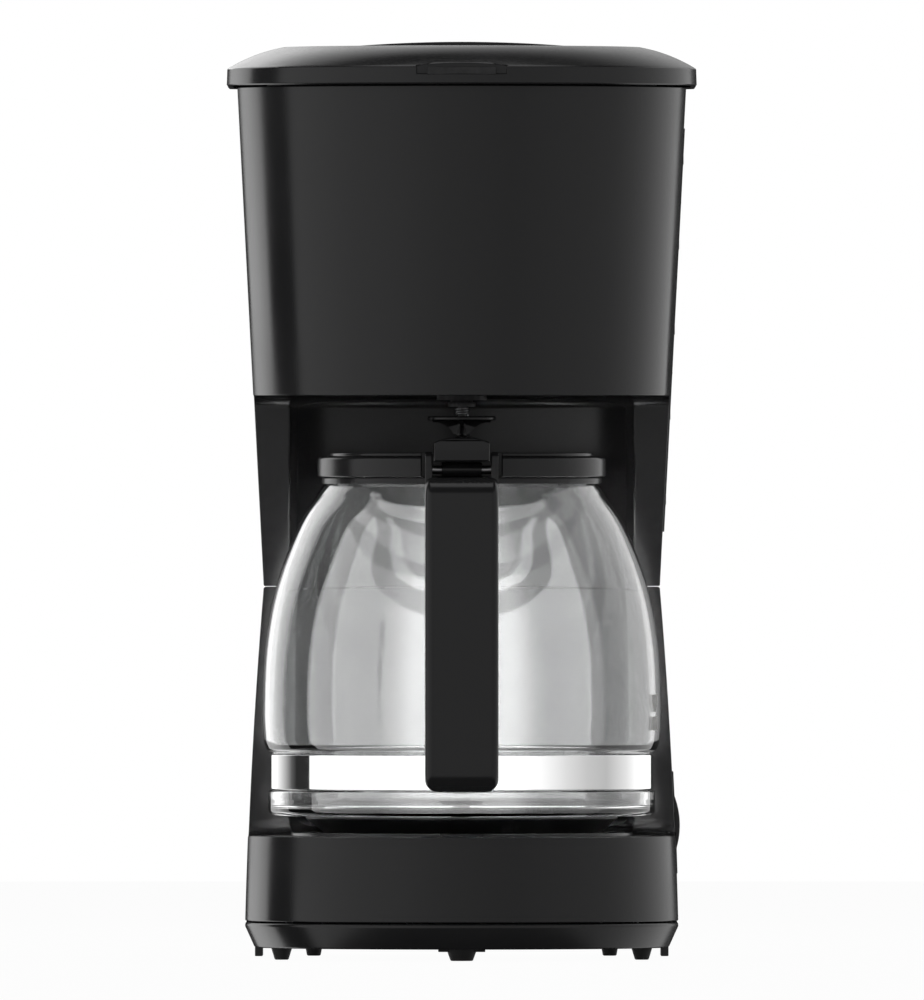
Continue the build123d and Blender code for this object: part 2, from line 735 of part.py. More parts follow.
STEM_RADIUS = 1.7
FOOT_LOW = 204.6
RIB_THICKNESS = 1.4
stem_profile = [
    (0, STEM_TIP),
    (1.6, STEM_TIP + 0.3),
    (2.1, STEM_TIP + 1.4),
    (1.5, 203.0),
    (1.5, FOOT_LOW),
    (FOOT_DISC_RADIUS - 0.5, FOOT_LOW),
    (FOOT_DISC_RADIUS, FOOT_LOW + 0.4),
    (FOOT_DISC_RADIUS, FOOT_LOW + 1.1),
    (FOOT_DISC_RADIUS - 0.5, FOOT_LOW + 1.6),
    (STEM_RADIUS, FOOT_LOW + 1.6),
    (STEM_RADIUS, 228.4),
    (3.6, 228.4),
    (3.6, 229.6),
    (0, 229.6),
]
with BuildPart() as drip_stem:
    add(turned(stem_profile))
    for rib_plane in (AXIS_PLANE, Plane((0, CARAFE_Y, 0), x_dir=(0, 1, 0), z_dir=(1, 0, 0))):
        with BuildSketch(rib_plane):
            with BuildLine():
                Line((0, 199.0), (3.0, 199.0))
                ThreePointArc((3.0, 199.0), (5.6, 202.4), (11.0, 203.8))
                Polyline((11.0, 203.8), (11.0, FOOT_LOW + 0.2), (0, FOOT_LOW + 0.2), (0, 199.0))
            make_face()
            mirror(about=Plane.YZ)
        extrude(amount=RIB_THICKNESS / 2, both=True)
save(drip_stem, "drip_stem")

SPRING_WIRE = 0.3
with BuildPart() as drip_spring:
    with BuildLine():
        Helix(
            pitch=0.9,
            height=SPRING_HIGH - SPRING_LOW - 2 * SPRING_WIRE,
            radius=2.35,
            center=(0, CARAFE_Y, SPRING_LOW + SPRING_WIRE),
        )
    with BuildSketch(Plane.XZ.offset(-CARAFE_Y)):
        with Locations((2.35, SPRING_LOW + SPRING_WIRE)):
            Circle(SPRING_WIRE)
    sweep(is_frenet=True)
save(drip_spring, "drip_spring")

with BuildPart() as drip_seal:
    add(turned([(1.75, 226.1), (6.6, 226.1), (7.2, 226.6), (6.0, 228.3), (1.75, 228.3)]))
save(drip_seal, "drip_seal")

# ---- top lid ---------------------------------------------------------------------------------------
LID_SHELL = 2.2
LID_CORNER = 14.0
LID_REAR_FALL = 18.0
LID_HINGE_HALF = 72.0


def lid_form(inset, bottom):
    """Domed lid form: upright rim, arched shoulder, level crest and a rear that falls to the hinge."""
    with BuildSketch() as section:
        with BuildLine():
            Line((LID_HALF - inset, bottom), (LID_HALF - inset - 0.2, LID_RIM_TOP - inset / 2))
            ThreePointArc(
                (LID_HALF - inset - 0.2, LID_RIM_TOP - inset / 2),
                (78.9 - inset / 2, 343.3 - inset),
                (LID_CREST_HALF, LID_CREST - inset),
            )
            Polyline(
                (LID_CREST_HALF, LID_CREST - inset),
                (0, LID_CREST - inset),
                (0, bottom),
                (LID_HALF - inset, bottom),
            )
        make_face()
    rear = HINGE_Y - inset
    with BuildPart() as form:
        add(round_front(section.sketch_local, rear))
        with BuildSketch(Plane.XY.offset(bottom)):
            add(plan(LID_HALF - inset, rear, LID_CORNER - inset))
        extrude(amount=LID_HUMP - bottom, mode=Mode.INTERSECT)
        with BuildSketch(Plane.YZ):
            with BuildLine():
                ThreePointArc(
                    (rear - LID_REAR_FALL, LID_CREST - inset),
                    (rear - 7.0, 343.6 - inset),
                    (rear, LID_RIM_TOP - inset),
                )
                Polyline(
                    (rear, LID_RIM_TOP - inset),
                    (rear + 1, LID_RIM_TOP - inset),
                    (rear + 1, LID_HUMP),
                    (rear - LID_REAR_FALL, LID_HUMP),
                    (rear - LID_REAR_FALL, LID_CREST - inset),
                )
            make_face()
        extrude(amount=LID_HALF, both=True, mode=Mode.SUBTRACT)
    return form.part


lid_outer = lid_form(0.0, LID_BOTTOM)
lid_space = lid_form(LID_SHELL, LID_BOTTOM - 1)
with BuildPart() as top_lid:
    add(lid_outer)
    with BuildSketch(Plane.XZ.offset(-96)):
        with BuildLine():
            ThreePointArc((-LID_HUMP_HALF, LID_CREST), (0, LID_HUMP), (LID_HUMP_HALF, LID_CREST))
            Polyline(
                (LID_HUMP_HALF, LID_CREST),
                (LID_HUMP_HALF, LID_CREST - 4),
                (-LID_HUMP_HALF, LID_CREST - 4),
                (-LID_HUMP_HALF, LID_CREST),
            )
        make_face()
    extrude(amount=5, both=True)
    with BuildSketch(Plane.YZ):
        with Locations((HINGE_Y, HINGE_Z)):
            Circle(HINGE_BARREL)
    extrude(amount=LID_HINGE_HALF, both=True)
    add(lid_space, mode=Mode.SUBTRACT)
    with BuildSketch(Plane.YZ):
        with Locations((HINGE_Y, HINGE_Z)):
            Circle(HINGE_BARREL)
    extrude(amount=LID_HINGE_HALF, both=True)
    with Locations((-EAR_X, HINGE_Y + 1, HINGE_Z + 3), (EAR_X, HINGE_Y + 1, HINGE_Z + 3)):
        Box(EAR_WIDTH + 2 * GAP, 11.6, 20, mode=Mode.SUBTRACT)
    with Locations(Location((0, HINGE_Y, HINGE_Z), (0, 90, 0))):
        Cylinder(HINGE_PIN + RUN, 2 * (EAR_X + 8), mode=Mode.SUBTRACT)
    with Locations((0, CARAFE_Y - LID_HALF, LID_RIM_TOP)):
        Box(34, 5.0, 5.4, mode=Mode.SUBTRACT)
    with Locations((0, CARAFE_Y - LID_HALF + 1.7, LID_RIM_TOP - 1.6)):
        Box(26, 2.4, 2.8)
save(top_lid, "top_lid")

with BuildPart() as hinge_pins:
    with Locations(*[Location((x, HINGE_Y, HINGE_Z), (0, 90, 0)) for x in (-54, 54)]):
        Cylinder(HINGE_PIN, 16)
save(hinge_pins, "hinge_pins")

LINER_HALF = 74.0
LINER_REAR = 106.0
LINER_BOTTOM = 327.0
with BuildPart() as lid_liner:
    with BuildSketch(Plane.XY.offset(LINER_BOTTOM)):
        add(plan(LINER_HALF, LINER_REAR, 8.0))
    extrude(amount=12.5)
    with BuildSketch(Plane.XY.offset(LINER_BOTTOM + 2)):
        add(plan(LINER_HALF - 2, LINER_REAR - 2, 6.0))
    extrude(amount=12, mode=Mode.SUBTRACT)
    with Locations((0, SPOUT_Y, LINER_BOTTOM), (0, CARAFE_Y, LINER_BOTTOM)):
        Cylinder(5.0, 10, mode=Mode.SUBTRACT)
save(lid_liner, "lid_liner")

SHOWER_LOW = 319.6
with BuildPart() as shower_head:
    add(
        turned(
            [
                (0, SHOWER_LOW),
                (28.6, SHOWER_LOW),
                (30.0, SHOWER_LOW + 1.2),
                (30.0, LINER_BOTTOM - 0.1),
                (28.2, LINER_BOTTOM - 0.1),
                (28.2, SHOWER_LOW + 1.8),
                (0, SHOWER_LOW + 1.8),
            ]
        )
    )
    for ring_radius, count in ((8, 6), (16, 12), (23, 18)):
        with Locations((0, CARAFE_Y, SHOWER_LOW)):
            with PolarLocations(ring_radius, count):
                Cylinder(1.0, 8, mode=Mode.SUBTRACT)
save(shower_head, "shower_head")

# ---- switch ----------------------------------------------------------------------------------------
ROCKER_HALF_WIDTH = 7.0
ROCKER_FACE_X = 83.3
PIVOT_RADIUS = 1.5
with BuildPart() as bezel_skin:
    add(round_front(base_section(-0.6), BODY_REAR))
    with Locations((BASE_HALF, SWITCH_Y, bezel_middle)):
        Box(20, BEZEL_WIDTH, bezel_height, mode=Mode.INTERSECT)
    add(base_outer, mode=Mode.SUBTRACT)
with BuildPart() as bezel_core:
    add(base_outer)
    with Locations((BASE_HALF, SWITCH_Y, bezel_middle)):
        Box(20, BEZEL_WIDTH - 4.2, bezel_height - 4.2, mode=Mode.INTERSECT)
    add(base_inner, mode=Mode.SUBTRACT)
with BuildPart() as switch_bezel:
    add(bezel_skin.part)
    add(bezel_core.part)
    with Locations((BASE_HALF, SWITCH_Y, SWITCH_Z)):
        Box(30, 2 * ROCKER_HALF_WIDTH + 0.8, 25.2, mode=Mode.SUBTRACT)
save(switch_bezel, "switch_bezel")

with BuildPart() as switch_rocker:
    with BuildSketch(Plane.XZ.offset(-SWITCH_Y)):
        with BuildLine():
            ThreePointArc((81.2, 38.8), (ROCKER_FACE_X, SWITCH_Z), (81.2, 61.6))
            Polyline((81.2, 61.6), (74.4, 57.0), (73.6, SWITCH_Z), (74.4, 43.4), (81.2, 38.8))
        make_face()
    extrude(amount=ROCKER_HALF_WIDTH, both=True)
    with Locations(Location((SWITCH_PIVOT_X, SWITCH_Y, SWITCH_Z), (90, 0, 0))):
        Cylinder(PIVOT_RADIUS, 2 * ROCKER_HALF_WIDTH + 4.8)
save(switch_rocker, "switch_rocker")

SWITCH_BODY_X = (58.0, 77.4)
with BuildPart() as switch_body:
    with Locations(((SWITCH_BODY_X[0] + SWITCH_BODY_X[1]) / 2, SWITCH_Y, SWITCH_Z)):
        Box(SWITCH_BODY_X[1] - SWITCH_BODY_X[0], 19.6, 30)
    with Locations((70 + 10, SWITCH_Y, SWITCH_Z)):
        Box(20, 2 * ROCKER_HALF_WIDTH + 0.8, 26, mode=Mode.SUBTRACT)
    with Locations(Location((SWITCH_PIVOT_X, SWITCH_Y, SWITCH_Z), (90, 0, 0))):
        Cylinder(PIVOT_RADIUS + RUN, 2 * ROCKER_HALF_WIDTH + 5.6, mode=Mode.SUBTRACT)
    with Locations(*[(SWITCH_BODY_X[0] - 3, SWITCH_Y, SWITCH_Z + dz) for dz in (-9, 0, 9)]):
        Box(6.4, 5.0, 0.8)
save(switch_body, "switch_body")

# ---- mains entry and wiring ------------------------------------------------------------------------
with BuildPart() as cord_gland:
    with BuildSketch(Plane.YZ.offset(GLAND_X)):
        with BuildLine():
            Polyline(
                (BODY_REAR - 6.0, GLAND_Z + CORD_RADIUS),
                (BODY_REAR + 2.0, GLAND_Z + CORD_RADIUS),
                (BODY_REAR + 2.0, GLAND_Z + 8.0),
                (BODY_REAR + 1.2, GLAND_Z + 9.0),
                (BODY_REAR + 0.1, GLAND_Z + 9.0),
                (BODY_REAR + 0.1, GLAND_Z + 5.9),
                (BODY_REAR - WALL - 0.1, GLAND_Z + 5.9),
                (BODY_REAR - WALL - 0.1, GLAND_Z + 8.0),
                (BODY_REAR - 6.0, GLAND_Z + 8.0),
                close=True,
            )
        make_face()
    revolve(axis=Axis((GLAND_X, 0, GLAND_Z), (0, 1, 0)))
save(cord_gland, "cord_gland")

CLAMP_Y = 102.0
with BuildPart() as cord_clamp:
    with Locations((GLAND_X, CLAMP_Y, 19.0)):
        Box(22, 9, 24)
        Box(14, 12, 24, mode=Mode.SUBTRACT)
    with Locations((GLAND_X, CLAMP_Y, 21.0), (GLAND_X, CLAMP_Y, 33.2)):
        Box(22, 9, 4.4)
save(cord_clamp, "cord_clamp")

BLOCK_X = -20.0
BLOCK_FLOOR = COVER_BOTTOM + WALL + 0.1
with BuildPart() as terminal_block:
    with Locations((BLOCK_X, 92.0, BLOCK_FLOOR + 6)):
        Box(28, 12, 12)
    with Locations(*[Location((BLOCK_X + dx, 92.0, BLOCK_FLOOR + 6), (90, 0, 0)) for dx in (-9, 0, 9)]):
        Cylinder(1.8, 20, mode=Mode.SUBTRACT)
save(terminal_block, "terminal_block")


def wire(route, bend):
    """Insulated lead along straight runs joined by round bends."""
    start = Vector(*route[0])
    heading = Vector(*route[1]) - start
    with BuildPart() as lead:
        with BuildLine():
            FilletPolyline(*route, radius=bend)
        with BuildSketch(Plane(start, z_dir=heading)):
            Circle(1.2)
        sweep()
    return lead.part


with BuildPart() as inner_leads:
    add(
        wire(
            [
                (BLOCK_X + 9, 85.8, 13),
                (BLOCK_X + 9, 76, 13),
                (47, 76, 13),
                (47, SWITCH_Y - 1, SWITCH_Z),
                (SWITCH_BODY_X[0] - 6.3, SWITCH_Y - 1, SWITCH_Z),
            ],
            4.0,
        )
    )
    add(
        wire(
            [
                (BLOCK_X - 9, 85.8, 13),
                (BLOCK_X - 9, 60, 13),
                (-ELEMENT_RADIUS, 50, 24),
                (-ELEMENT_RADIUS, 44, ELEMENT_Z),
                (-ELEMENT_RADIUS, CARAFE_Y + 41.2, ELEMENT_Z),
            ],
            2.6,
        )
    )
save(inner_leads, "inner_leads")

with BuildPart() as joining_screws:
    for x, y in JOIN_SPOTS:
        add(straight_screw(x, y, JOIN_BOSS_LOW - 2.3, 3.2, 1.5, 21))
save(joining_screws, "joining_screws")

# ---- carafe ----------------------------------------------------------------------------------------
GLASS = 2.2
NECK_TOP = 182.6


def carafe_outline(thickness=0.0):
    """Half outline of the carafe's glass, moved inwards by its thickness.

    A flat base with a rounded foot, a recess for the band, a full belly and a short upright neck.
    """
    foot = GLASS_BASE_RADIUS - thickness
    waist = BAND_RADIUS - 0.7 - thickness
    low = CARAFE_BOTTOM + thickness
    with BuildSketch() as section:
        with BuildLine():
            Line((0, low), (foot - 2.3, low))
            TangentArc((foot - 2.3, low), (foot, low + 2.3), tangent=(1, 0))
            if thickness > 0:
                Polyline((foot, low + 2.3), (waist, low + 4.0), (waist, BAND_HIGH + 0.8))
            else:
                Polyline(
                    (foot, low + 2.3),
                    (foot, BAND_LOW - 1.2),
                    (waist, BAND_LOW - 0.3),
                    (waist, BAND_HIGH + 0.2),
                )
            ThreePointArc(
                (waist, BAND_HIGH + (0.8 if thickness > 0 else 0.2)),
                (74.3 - thickness, 79.6 + 0.3 * thickness),
                (75.2 - thickness, 82.4),
            )
            Spline(
                (75.2 - thickness, 82.4),
                (BELLY_RADIUS - thickness, 95.0),
                (74.7 - thickness, 119.0),
                (70.5 - thickness, 141.7 - 0.3 * thickness),
                (62.0 - 0.85 * thickness, 164.5 - 0.5 * thickness),
                (54.0 - 0.84 * thickness, 178.2 - 0.55 * thickness),
                tangents=((0.09, 1), (-0.62, 1)),
            )
            Polyline(
                (54.0 - 0.84 * thickness, 178.2 - 0.55 * thickness),
                (NECK_RADIUS - thickness, 181.6 - 0.3 * thickness),
                (NECK_RADIUS - thickness, NECK_TOP + thickness),
                (0, NECK_TOP + thickness),
                (0, low),
            )
        make_face()
    return section.sketch_local


def revolved(section):
    """Full turn of a half outline about the carafe axis."""
    with BuildPart() as form:
        with BuildSketch(AXIS_PLANE):
            add(section)
        revolve(axis=CARAFE_AXIS)
    return form.part


glass_outer = revolved(carafe_outline())
with BuildPart() as carafe_glass:
    add(glass_outer)
    add(revolved(carafe_outline(GLASS)), mode=Mode.SUBTRACT)
save(carafe_glass, "carafe_glass")

with BuildPart() as carafe_band:
    add(
        turned(
            [
                (BAND_RADIUS - 0.65, BAND_LOW),
                (BAND_RADIUS, BAND_LOW),
                (BAND_RADIUS, BAND_HIGH),
                (BAND_RADIUS - 0.65, BAND_HIGH),
            ]
        )
    )
    with Locations((0, CARAFE_Y - BAND_RADIUS - 5.5, 71.0)):
        Box(11, 12, 1.4)
    with Locations((0, CARAFE_Y - 79.0, 71.0)):
        Cylinder(1.8, 4, mode=Mode.SUBTRACT)
save(carafe_band, "carafe_band")

with BuildPart() as carafe_collar:
    add(
        turned(
            [
                (NECK_RADIUS + 0.2, 182.1),
                (COLLAR_RADIUS - 0.15, COLLAR_LOW + 0.9),
                (COLLAR_RADIUS, COLLAR_LOW + 0.5),
                (COLLAR_RADIUS, COLLAR_HIGH - 0.3),
                (COLLAR_RADIUS - 0.3, COLLAR_HIGH),
                (NECK_RADIUS + 0.15, COLLAR_HIGH),
            ]
        )
    )
    with Locations((0, CARAFE_Y - COLLAR_RADIUS - 5.75, 180.8)):
        Box(11, 12.1, 1.6)
    with Locations((0, CARAFE_Y - 60.6, 180.7)):
        Cylinder(1.8, 4, mode=Mode.SUBTRACT)
save(carafe_collar, "carafe_collar")

TOP_ARM = 12.4
LOW_ARM = 13.6
EAR_INNER = 11.1
EAR_TOP = 192.5
GRIP_BACK = HANDLE_FRONT + GRIP_DEPTH
with BuildPart() as carafe_handle:
    with BuildSketch(Plane.YZ) as grip:
        with BuildLine():
            Polyline(
                (CARAFE_Y - COLLAR_RADIUS - 0.1, COLLAR_HIGH),
                (HANDLE_FRONT, COLLAR_HIGH),
                (HANDLE_FRONT, HANDLE_BOTTOM),
                (CARAFE_Y - BAND_RADIUS - 0.1, HANDLE_BOTTOM),
                (CARAFE_Y - BAND_RADIUS - 0.1, HANDLE_BOTTOM + LOW_ARM),
                (GRIP_BACK, HANDLE_BOTTOM + LOW_ARM),
                (GRIP_BACK, COLLAR_HIGH - TOP_ARM),
                (CARAFE_Y - COLLAR_RADIUS - 0.1, COLLAR_HIGH - TOP_ARM),
                close=True,
            )
        make_face()
        outer_corners = grip.vertices().group_by(Axis.X)[0]
        fillet(outer_corners, 9.0)
        inner_corners = grip.vertices().filter_by(lambda v: abs(v.X - GRIP_BACK) < 0.01)
        fillet(inner_corners, 7.0)
    extrude(amount=HANDLE_HALF, both=True)
    long_edges = carafe_handle.edges().filter_by(
        lambda e: abs(abs(e.center().X) - HANDLE_HALF) < 0.01 and e.center().Y < GRIP_BACK + 8
    )
    fillet(long_edges, 2.2)
    add(revolved(carafe_outline(-0.4)), mode=Mode.SUBTRACT)
    for side in (-1, 1):
        with BuildSketch(Plane.YZ.offset(side * (EAR_INNER + HANDLE_HALF) / 2)):
            with BuildLine():
                Polyline(
                    (LID_PIN_Y + 6.5, COLLAR_HIGH - 4),
                    (LID_PIN_Y - 9.0, COLLAR_HIGH - 4),
                    (LID_PIN_Y - 6.0, EAR_TOP),
                    (LID_PIN_Y + 4.5, EAR_TOP),
                    close=True,
                )
            make_face()
        extrude(amount=(HANDLE_HALF - EAR_INNER) / 2, both=True)
    with Locations(Location((0, LID_PIN_Y, LID_PIN_Z), (0, 90, 0))):
        Cylinder(LID_PIN_RADIUS + 0.02, 40, mode=Mode.SUBTRACT)
    with Locations((0, CARAFE_Y - COLLAR_RADIUS - 5.5, 180.7)):
        Box(11.6, 13.6, 2.2, mode=Mode.SUBTRACT)
    with Locations((0, CARAFE_Y - BAND_RADIUS - 5.5, 71.0)):
        Box(11.6, 13.2, 2.0, mode=Mode.SUBTRACT)
    with Locations((0, CARAFE_Y - 79.0, HANDLE_BOTTOM)):
        Cylinder(3.4, 7.0, mode=Mode.SUBTRACT)
        Cylinder(1.7, 24.0, mode=Mode.SUBTRACT)
    with Locations((0, CARAFE_Y - 60.6, 176.0)):
        Cylinder(1.7, 11.6, mode=Mode.SUBTRACT)
save(carafe_handle, "carafe_handle")

with BuildPart() as handle_screws:
    add(straight_screw(0, CARAFE_Y - 79.0, HANDLE_BOTTOM + 1.1, 3.0, 1.5, 9.0))
    with Locations((0, CARAFE_Y - 60.6, 177.0)):
        Cylinder(1.5, 9.0)
save(handle_screws, "handle_screws")

DISH_RADIUS = 34.0
DISH_FLOOR = 188.0
PLUG_RADIUS = 47.8
lid_profile = [
    (8.0, 186.0),
    (PLUG_RADIUS - 1.8, 186.0),
    (PLUG_RADIUS - 1.8, 178.6),
    (PLUG_RADIUS, 178.6),
    (PLUG_RADIUS, CARAFE_LID_BOTTOM),
    (CARAFE_LID_RADIUS - 0.4, CARAFE_LID_BOTTOM),
    (CARAFE_LID_RADIUS, CARAFE_LID_BOTTOM + 0.4),
    (CARAFE_LID_RADIUS, CARAFE_LID_EDGE - 0.9),
    (CARAFE_LID_RADIUS - 0.9, CARAFE_LID_EDGE),
    (CARAFE_LID_STEP + 0.3, CARAFE_LID_EDGE),
    (CARAFE_LID_STEP, CARAFE_LID_TOP - 0.5),
    (CARAFE_LID_STEP - 0.5, CARAFE_LID_TOP),
    (DISH_RADIUS, CARAFE_LID_TOP),
    (DISH_RADIUS - 4.0, DISH_FLOOR),
    (8.0, DISH_FLOOR),
]
TONGUE_HALF = 7.6
NOTCH_HALF = 15.4
NOTCH_Y = CARAFE_Y - 47.6
with BuildPart() as carafe_lid:
    add(turned(lid_profile))
    with Locations((0, NOTCH_Y - 10, 188.0)):
        Box(2 * NOTCH_HALF, 20, 20, mode=Mode.SUBTRACT)
    with Locations((0, (NOTCH_Y + LID_PIN_Y) / 2 + 2, LID_PIN_Z)):
        Box(2 * TONGUE_HALF, NOTCH_Y - LID_PIN_Y + 4, 4.4)
    with Locations(Location((0, LID_PIN_Y, LID_PIN_Z), (0, 90, 0))):
        Cylinder(2.8, 2 * TONGUE_HALF)
        Cylinder(LID_PIN_RADIUS + RUN, 40, mode=Mode.SUBTRACT)
save(carafe_lid, "carafe_lid")

with BuildPart() as carafe_lid_pin:
    with Locations(Location((0, LID_PIN_Y, LID_PIN_Z), (0, 90, 0))):
        Cylinder(LID_PIN_RADIUS, 2 * HANDLE_HALF - 0.6)
save(carafe_lid_pin, "carafe_lid_pin")

LEVER_HALF = 10.6
LEVER_TOP = 198.4
with BuildPart() as thumb_lever:
    with BuildSketch(Plane.YZ):
        with BuildLine():
            Polyline(
                (NOTCH_Y - 0.2, LID_PIN_Z + 3.1),
                (LID_PIN_Y - 9.0, LID_PIN_Z + 3.1),
                (LID_PIN_Y - 11.0, 189.4),
                (LID_PIN_Y - 10.6, 191.0),
            )
            ThreePointArc(
                (LID_PIN_Y - 10.6, 191.0), (LID_PIN_Y - 6.6, 194.2), (LID_PIN_Y - 4.6, LEVER_TOP)
            )
            Polyline(
                (LID_PIN_Y - 4.6, LEVER_TOP),
                (LID_PIN_Y - 2.4, LEVER_TOP),
                (LID_PIN_Y + 1.0, 192.6),
                (NOTCH_Y - 0.2, 191.4),
                (NOTCH_Y - 0.2, LID_PIN_Z + 3.1),
            )
        make_face()
    extrude(amount=LEVER_HALF, both=True)
    with BuildSketch(Plane.XZ.offset(-LID_PIN_Y)):
        with BuildLine():
            ThreePointArc((-LEVER_HALF, 196.1), (0, LEVER_TOP), (LEVER_HALF, 196.1))
            Polyline(
                (LEVER_HALF, 196.1), (LEVER_HALF, 180.0), (-LEVER_HALF, 180.0), (-LEVER_HALF, 196.1)
            )
        make_face()
    extrude(amount=30, both=True, mode=Mode.INTERSECT)
save(thumb_lever, "thumb_lever")

with BuildPart() as lid_funnel:
    add(
        turned(
            [
                (7.8, 189.4),
                (9.6, 189.4),
                (9.6, 188.1),
                (7.8, 188.1),
                (7.8, 172.0),
                (6.4, 170.0),
                (5.0, 170.0),
                (6.2, 172.6),
                (6.2, 189.4),
            ]
        )
    )
save(lid_funnel, "lid_funnel")
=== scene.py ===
import json
import logging
import math
from collections.abc import Callable, Sequence
from dataclasses import dataclass, field
from enum import Enum

import bmesh
import bpy
from mathutils import Matrix, Vector

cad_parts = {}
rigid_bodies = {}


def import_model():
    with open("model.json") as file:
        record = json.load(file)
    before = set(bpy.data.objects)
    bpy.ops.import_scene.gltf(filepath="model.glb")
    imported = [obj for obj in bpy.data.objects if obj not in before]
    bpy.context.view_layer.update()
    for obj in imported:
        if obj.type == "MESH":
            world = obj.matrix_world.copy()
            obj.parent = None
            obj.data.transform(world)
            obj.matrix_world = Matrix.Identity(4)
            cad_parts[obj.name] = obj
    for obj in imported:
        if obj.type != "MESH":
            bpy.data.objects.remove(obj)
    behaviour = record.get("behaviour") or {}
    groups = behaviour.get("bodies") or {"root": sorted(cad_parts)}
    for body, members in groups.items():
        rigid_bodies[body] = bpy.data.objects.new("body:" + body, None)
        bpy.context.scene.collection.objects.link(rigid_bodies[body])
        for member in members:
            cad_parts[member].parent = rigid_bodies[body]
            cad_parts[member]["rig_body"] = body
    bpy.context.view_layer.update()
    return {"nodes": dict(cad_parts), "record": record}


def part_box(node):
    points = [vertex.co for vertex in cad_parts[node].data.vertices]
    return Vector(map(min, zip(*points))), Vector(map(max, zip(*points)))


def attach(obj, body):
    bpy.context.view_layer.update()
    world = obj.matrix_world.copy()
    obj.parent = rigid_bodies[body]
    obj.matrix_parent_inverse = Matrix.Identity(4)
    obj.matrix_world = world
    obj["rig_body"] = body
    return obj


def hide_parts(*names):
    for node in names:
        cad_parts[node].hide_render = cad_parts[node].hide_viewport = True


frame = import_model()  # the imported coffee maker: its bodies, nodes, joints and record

MM = 0.001
AXIS_Y = sum(corner[1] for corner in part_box("warming_plate")) / 2  # upright axis of jug, plate and basket
RIGHT_ANGLE = math.pi / 2
FULL_TURN = 2 * math.pi

Piece = bpy.types.Object
Material = bpy.types.Material
Point2 = tuple[float, float]
Corner = tuple[float, float, float]
Ring = list[Vector]
Socket = bpy.types.NodeSocket
Value = Socket | float

log = logging.getLogger("coffee_maker")


# ---- outlines ------------------------------------------------------------------------------------
def rounded(corners: Sequence[Corner], step: float = math.radians(11)) -> list[Point2]:
    """Turn a closed run of corners into points, each corner rounded with its own radius.

    Args:
        corners: (across, up, radius) of each corner, in order.
        step: largest turn between two points of an arc.

    Returns:
        The points of the closed outline.
    """
    points: list[Point2] = []
    for index, (across, up, radius) in enumerate(corners):
        here = Vector((across, up))
        if radius <= 0:
            points.append((across, up))
            continue
        before = (Vector(corners[index - 1][:2]) - here).normalized()
        after = (Vector(corners[(index + 1) % len(corners)][:2]) - here).normalized()
        half = before.angle(after) / 2
        centre = here + (before + after).normalized() * (radius / math.sin(half))
        reach = radius / math.tan(half)
        start = here + before * reach - centre
        end = here + after * reach - centre
        turn = math.atan2(start.x * end.y - start.y * end.x, start.dot(end))
        count = max(2, math.ceil(abs(turn) / step))
        for number in range(count + 1):
            spoke = start.copy()
            spoke.rotate(Matrix.Rotation(turn * number / count, 2))
            points.append(tuple(centre + spoke))
    return points


def arc(centre: Point2, radius: float, start: float, end: float, count: int) -> list[Point2]:
    """Points along a circular arc.

    Args:
        centre: the arc's centre.
        radius: its radius.
        start: angle of the first point.
        end: angle of the last point.
        count: number of equal steps.

    Returns:
        count + 1 points.
    """
    angles = [start + (end - start) * number / count for number in range(count + 1)]
    return [(centre[0] + radius * math.cos(a), centre[1] + radius * math.sin(a)) for a in angles]


def flowing(points: Sequence[Point2], steps: int = 8) -> list[Point2]:
    """Smooth curve through points, a Catmull-Rom spline.

    Args:
        points: the points that the curve passes through.
        steps: points made for each span.

    Returns:
        The points of the curve, first and last included.
    """
    known = [Vector(p) for p in points]
    known = [2 * known[0] - known[1], *known, 2 * known[-1] - known[-2]]
    curve: list[Point2] = []
    for a, b, c, d in zip(known, known[1:], known[2:], known[3:]):
        for number in range(steps):
            t = number / steps
            spot = 2 * b + (c - a) * t + (2 * a - 5 * b + 4 * c - d) * t**2 + (3 * b - a - 3 * c + d) * t**3
            curve.append(tuple(spot / 2))
    curve.append(tuple(points[-1]))
    return curve


def plan_ring(half: float, rear: float, corner: float, height: float, steps: int = 96) -> Ring:
    """Level outline of the housings: half-round front, straight sides, rounded rear corners.

    Args:
        half: half width, which is also the front's radius.
        rear: where the back face stands.
        corner: radius of the rear corners.
        height: height of the outline.
        steps: points along the half-round front.

    Returns:
        The outline's points, anticlockwise seen from above.
    """
    side_count, corner_count = 10, 8
    outline = arc((0, AXIS_Y), half, math.pi, FULL_TURN, steps)
    sides = [AXIS_Y + (rear - corner - AXIS_Y) * n / side_count for n in range(1, side_count)]
    outline += [(half, y) for y in sides]
    outline += arc((half - corner, rear - corner), corner, 0, RIGHT_ANGLE, corner_count)
    across = [(half - corner) * (1 - 2 * n / side_count) for n in range(1, side_count)]
    outline += [(x, rear) for x in across]
    outline += arc((corner - half, rear - corner), corner, RIGHT_ANGLE, math.pi, corner_count)
    outline += [(-half, y) for y in reversed(sides)]
    return [Vector((x, y, height)) for x, y in outline]


def eased(low: float, high: float, radius: float, levels: int, count: int = 3) -> list[Point2]:
    """Heights of a wall whose top and bottom edges are rounded.

    Args:
        low: height of the lower edge.
        high: height of the upper edge.
        radius: radius of both edges.
        levels: number of plain steps between the edges.
        count: steps of each rounded edge.

    Returns:
        (inset, height) pairs from the bottom up.
    """
    turns = [RIGHT_ANGLE * n / count for n in range(count + 1)]
    bottom = [(radius * (1 - math.sin(a)), low + radius * (1 - math.cos(a))) for a in turns]
    top = [(inset, low + high - height) for inset, height in reversed(bottom)]
    middle = [(0.0, low + radius + (high - low - 2 * radius) * n / levels) for n in range(1, levels)]
    return bottom + middle + top


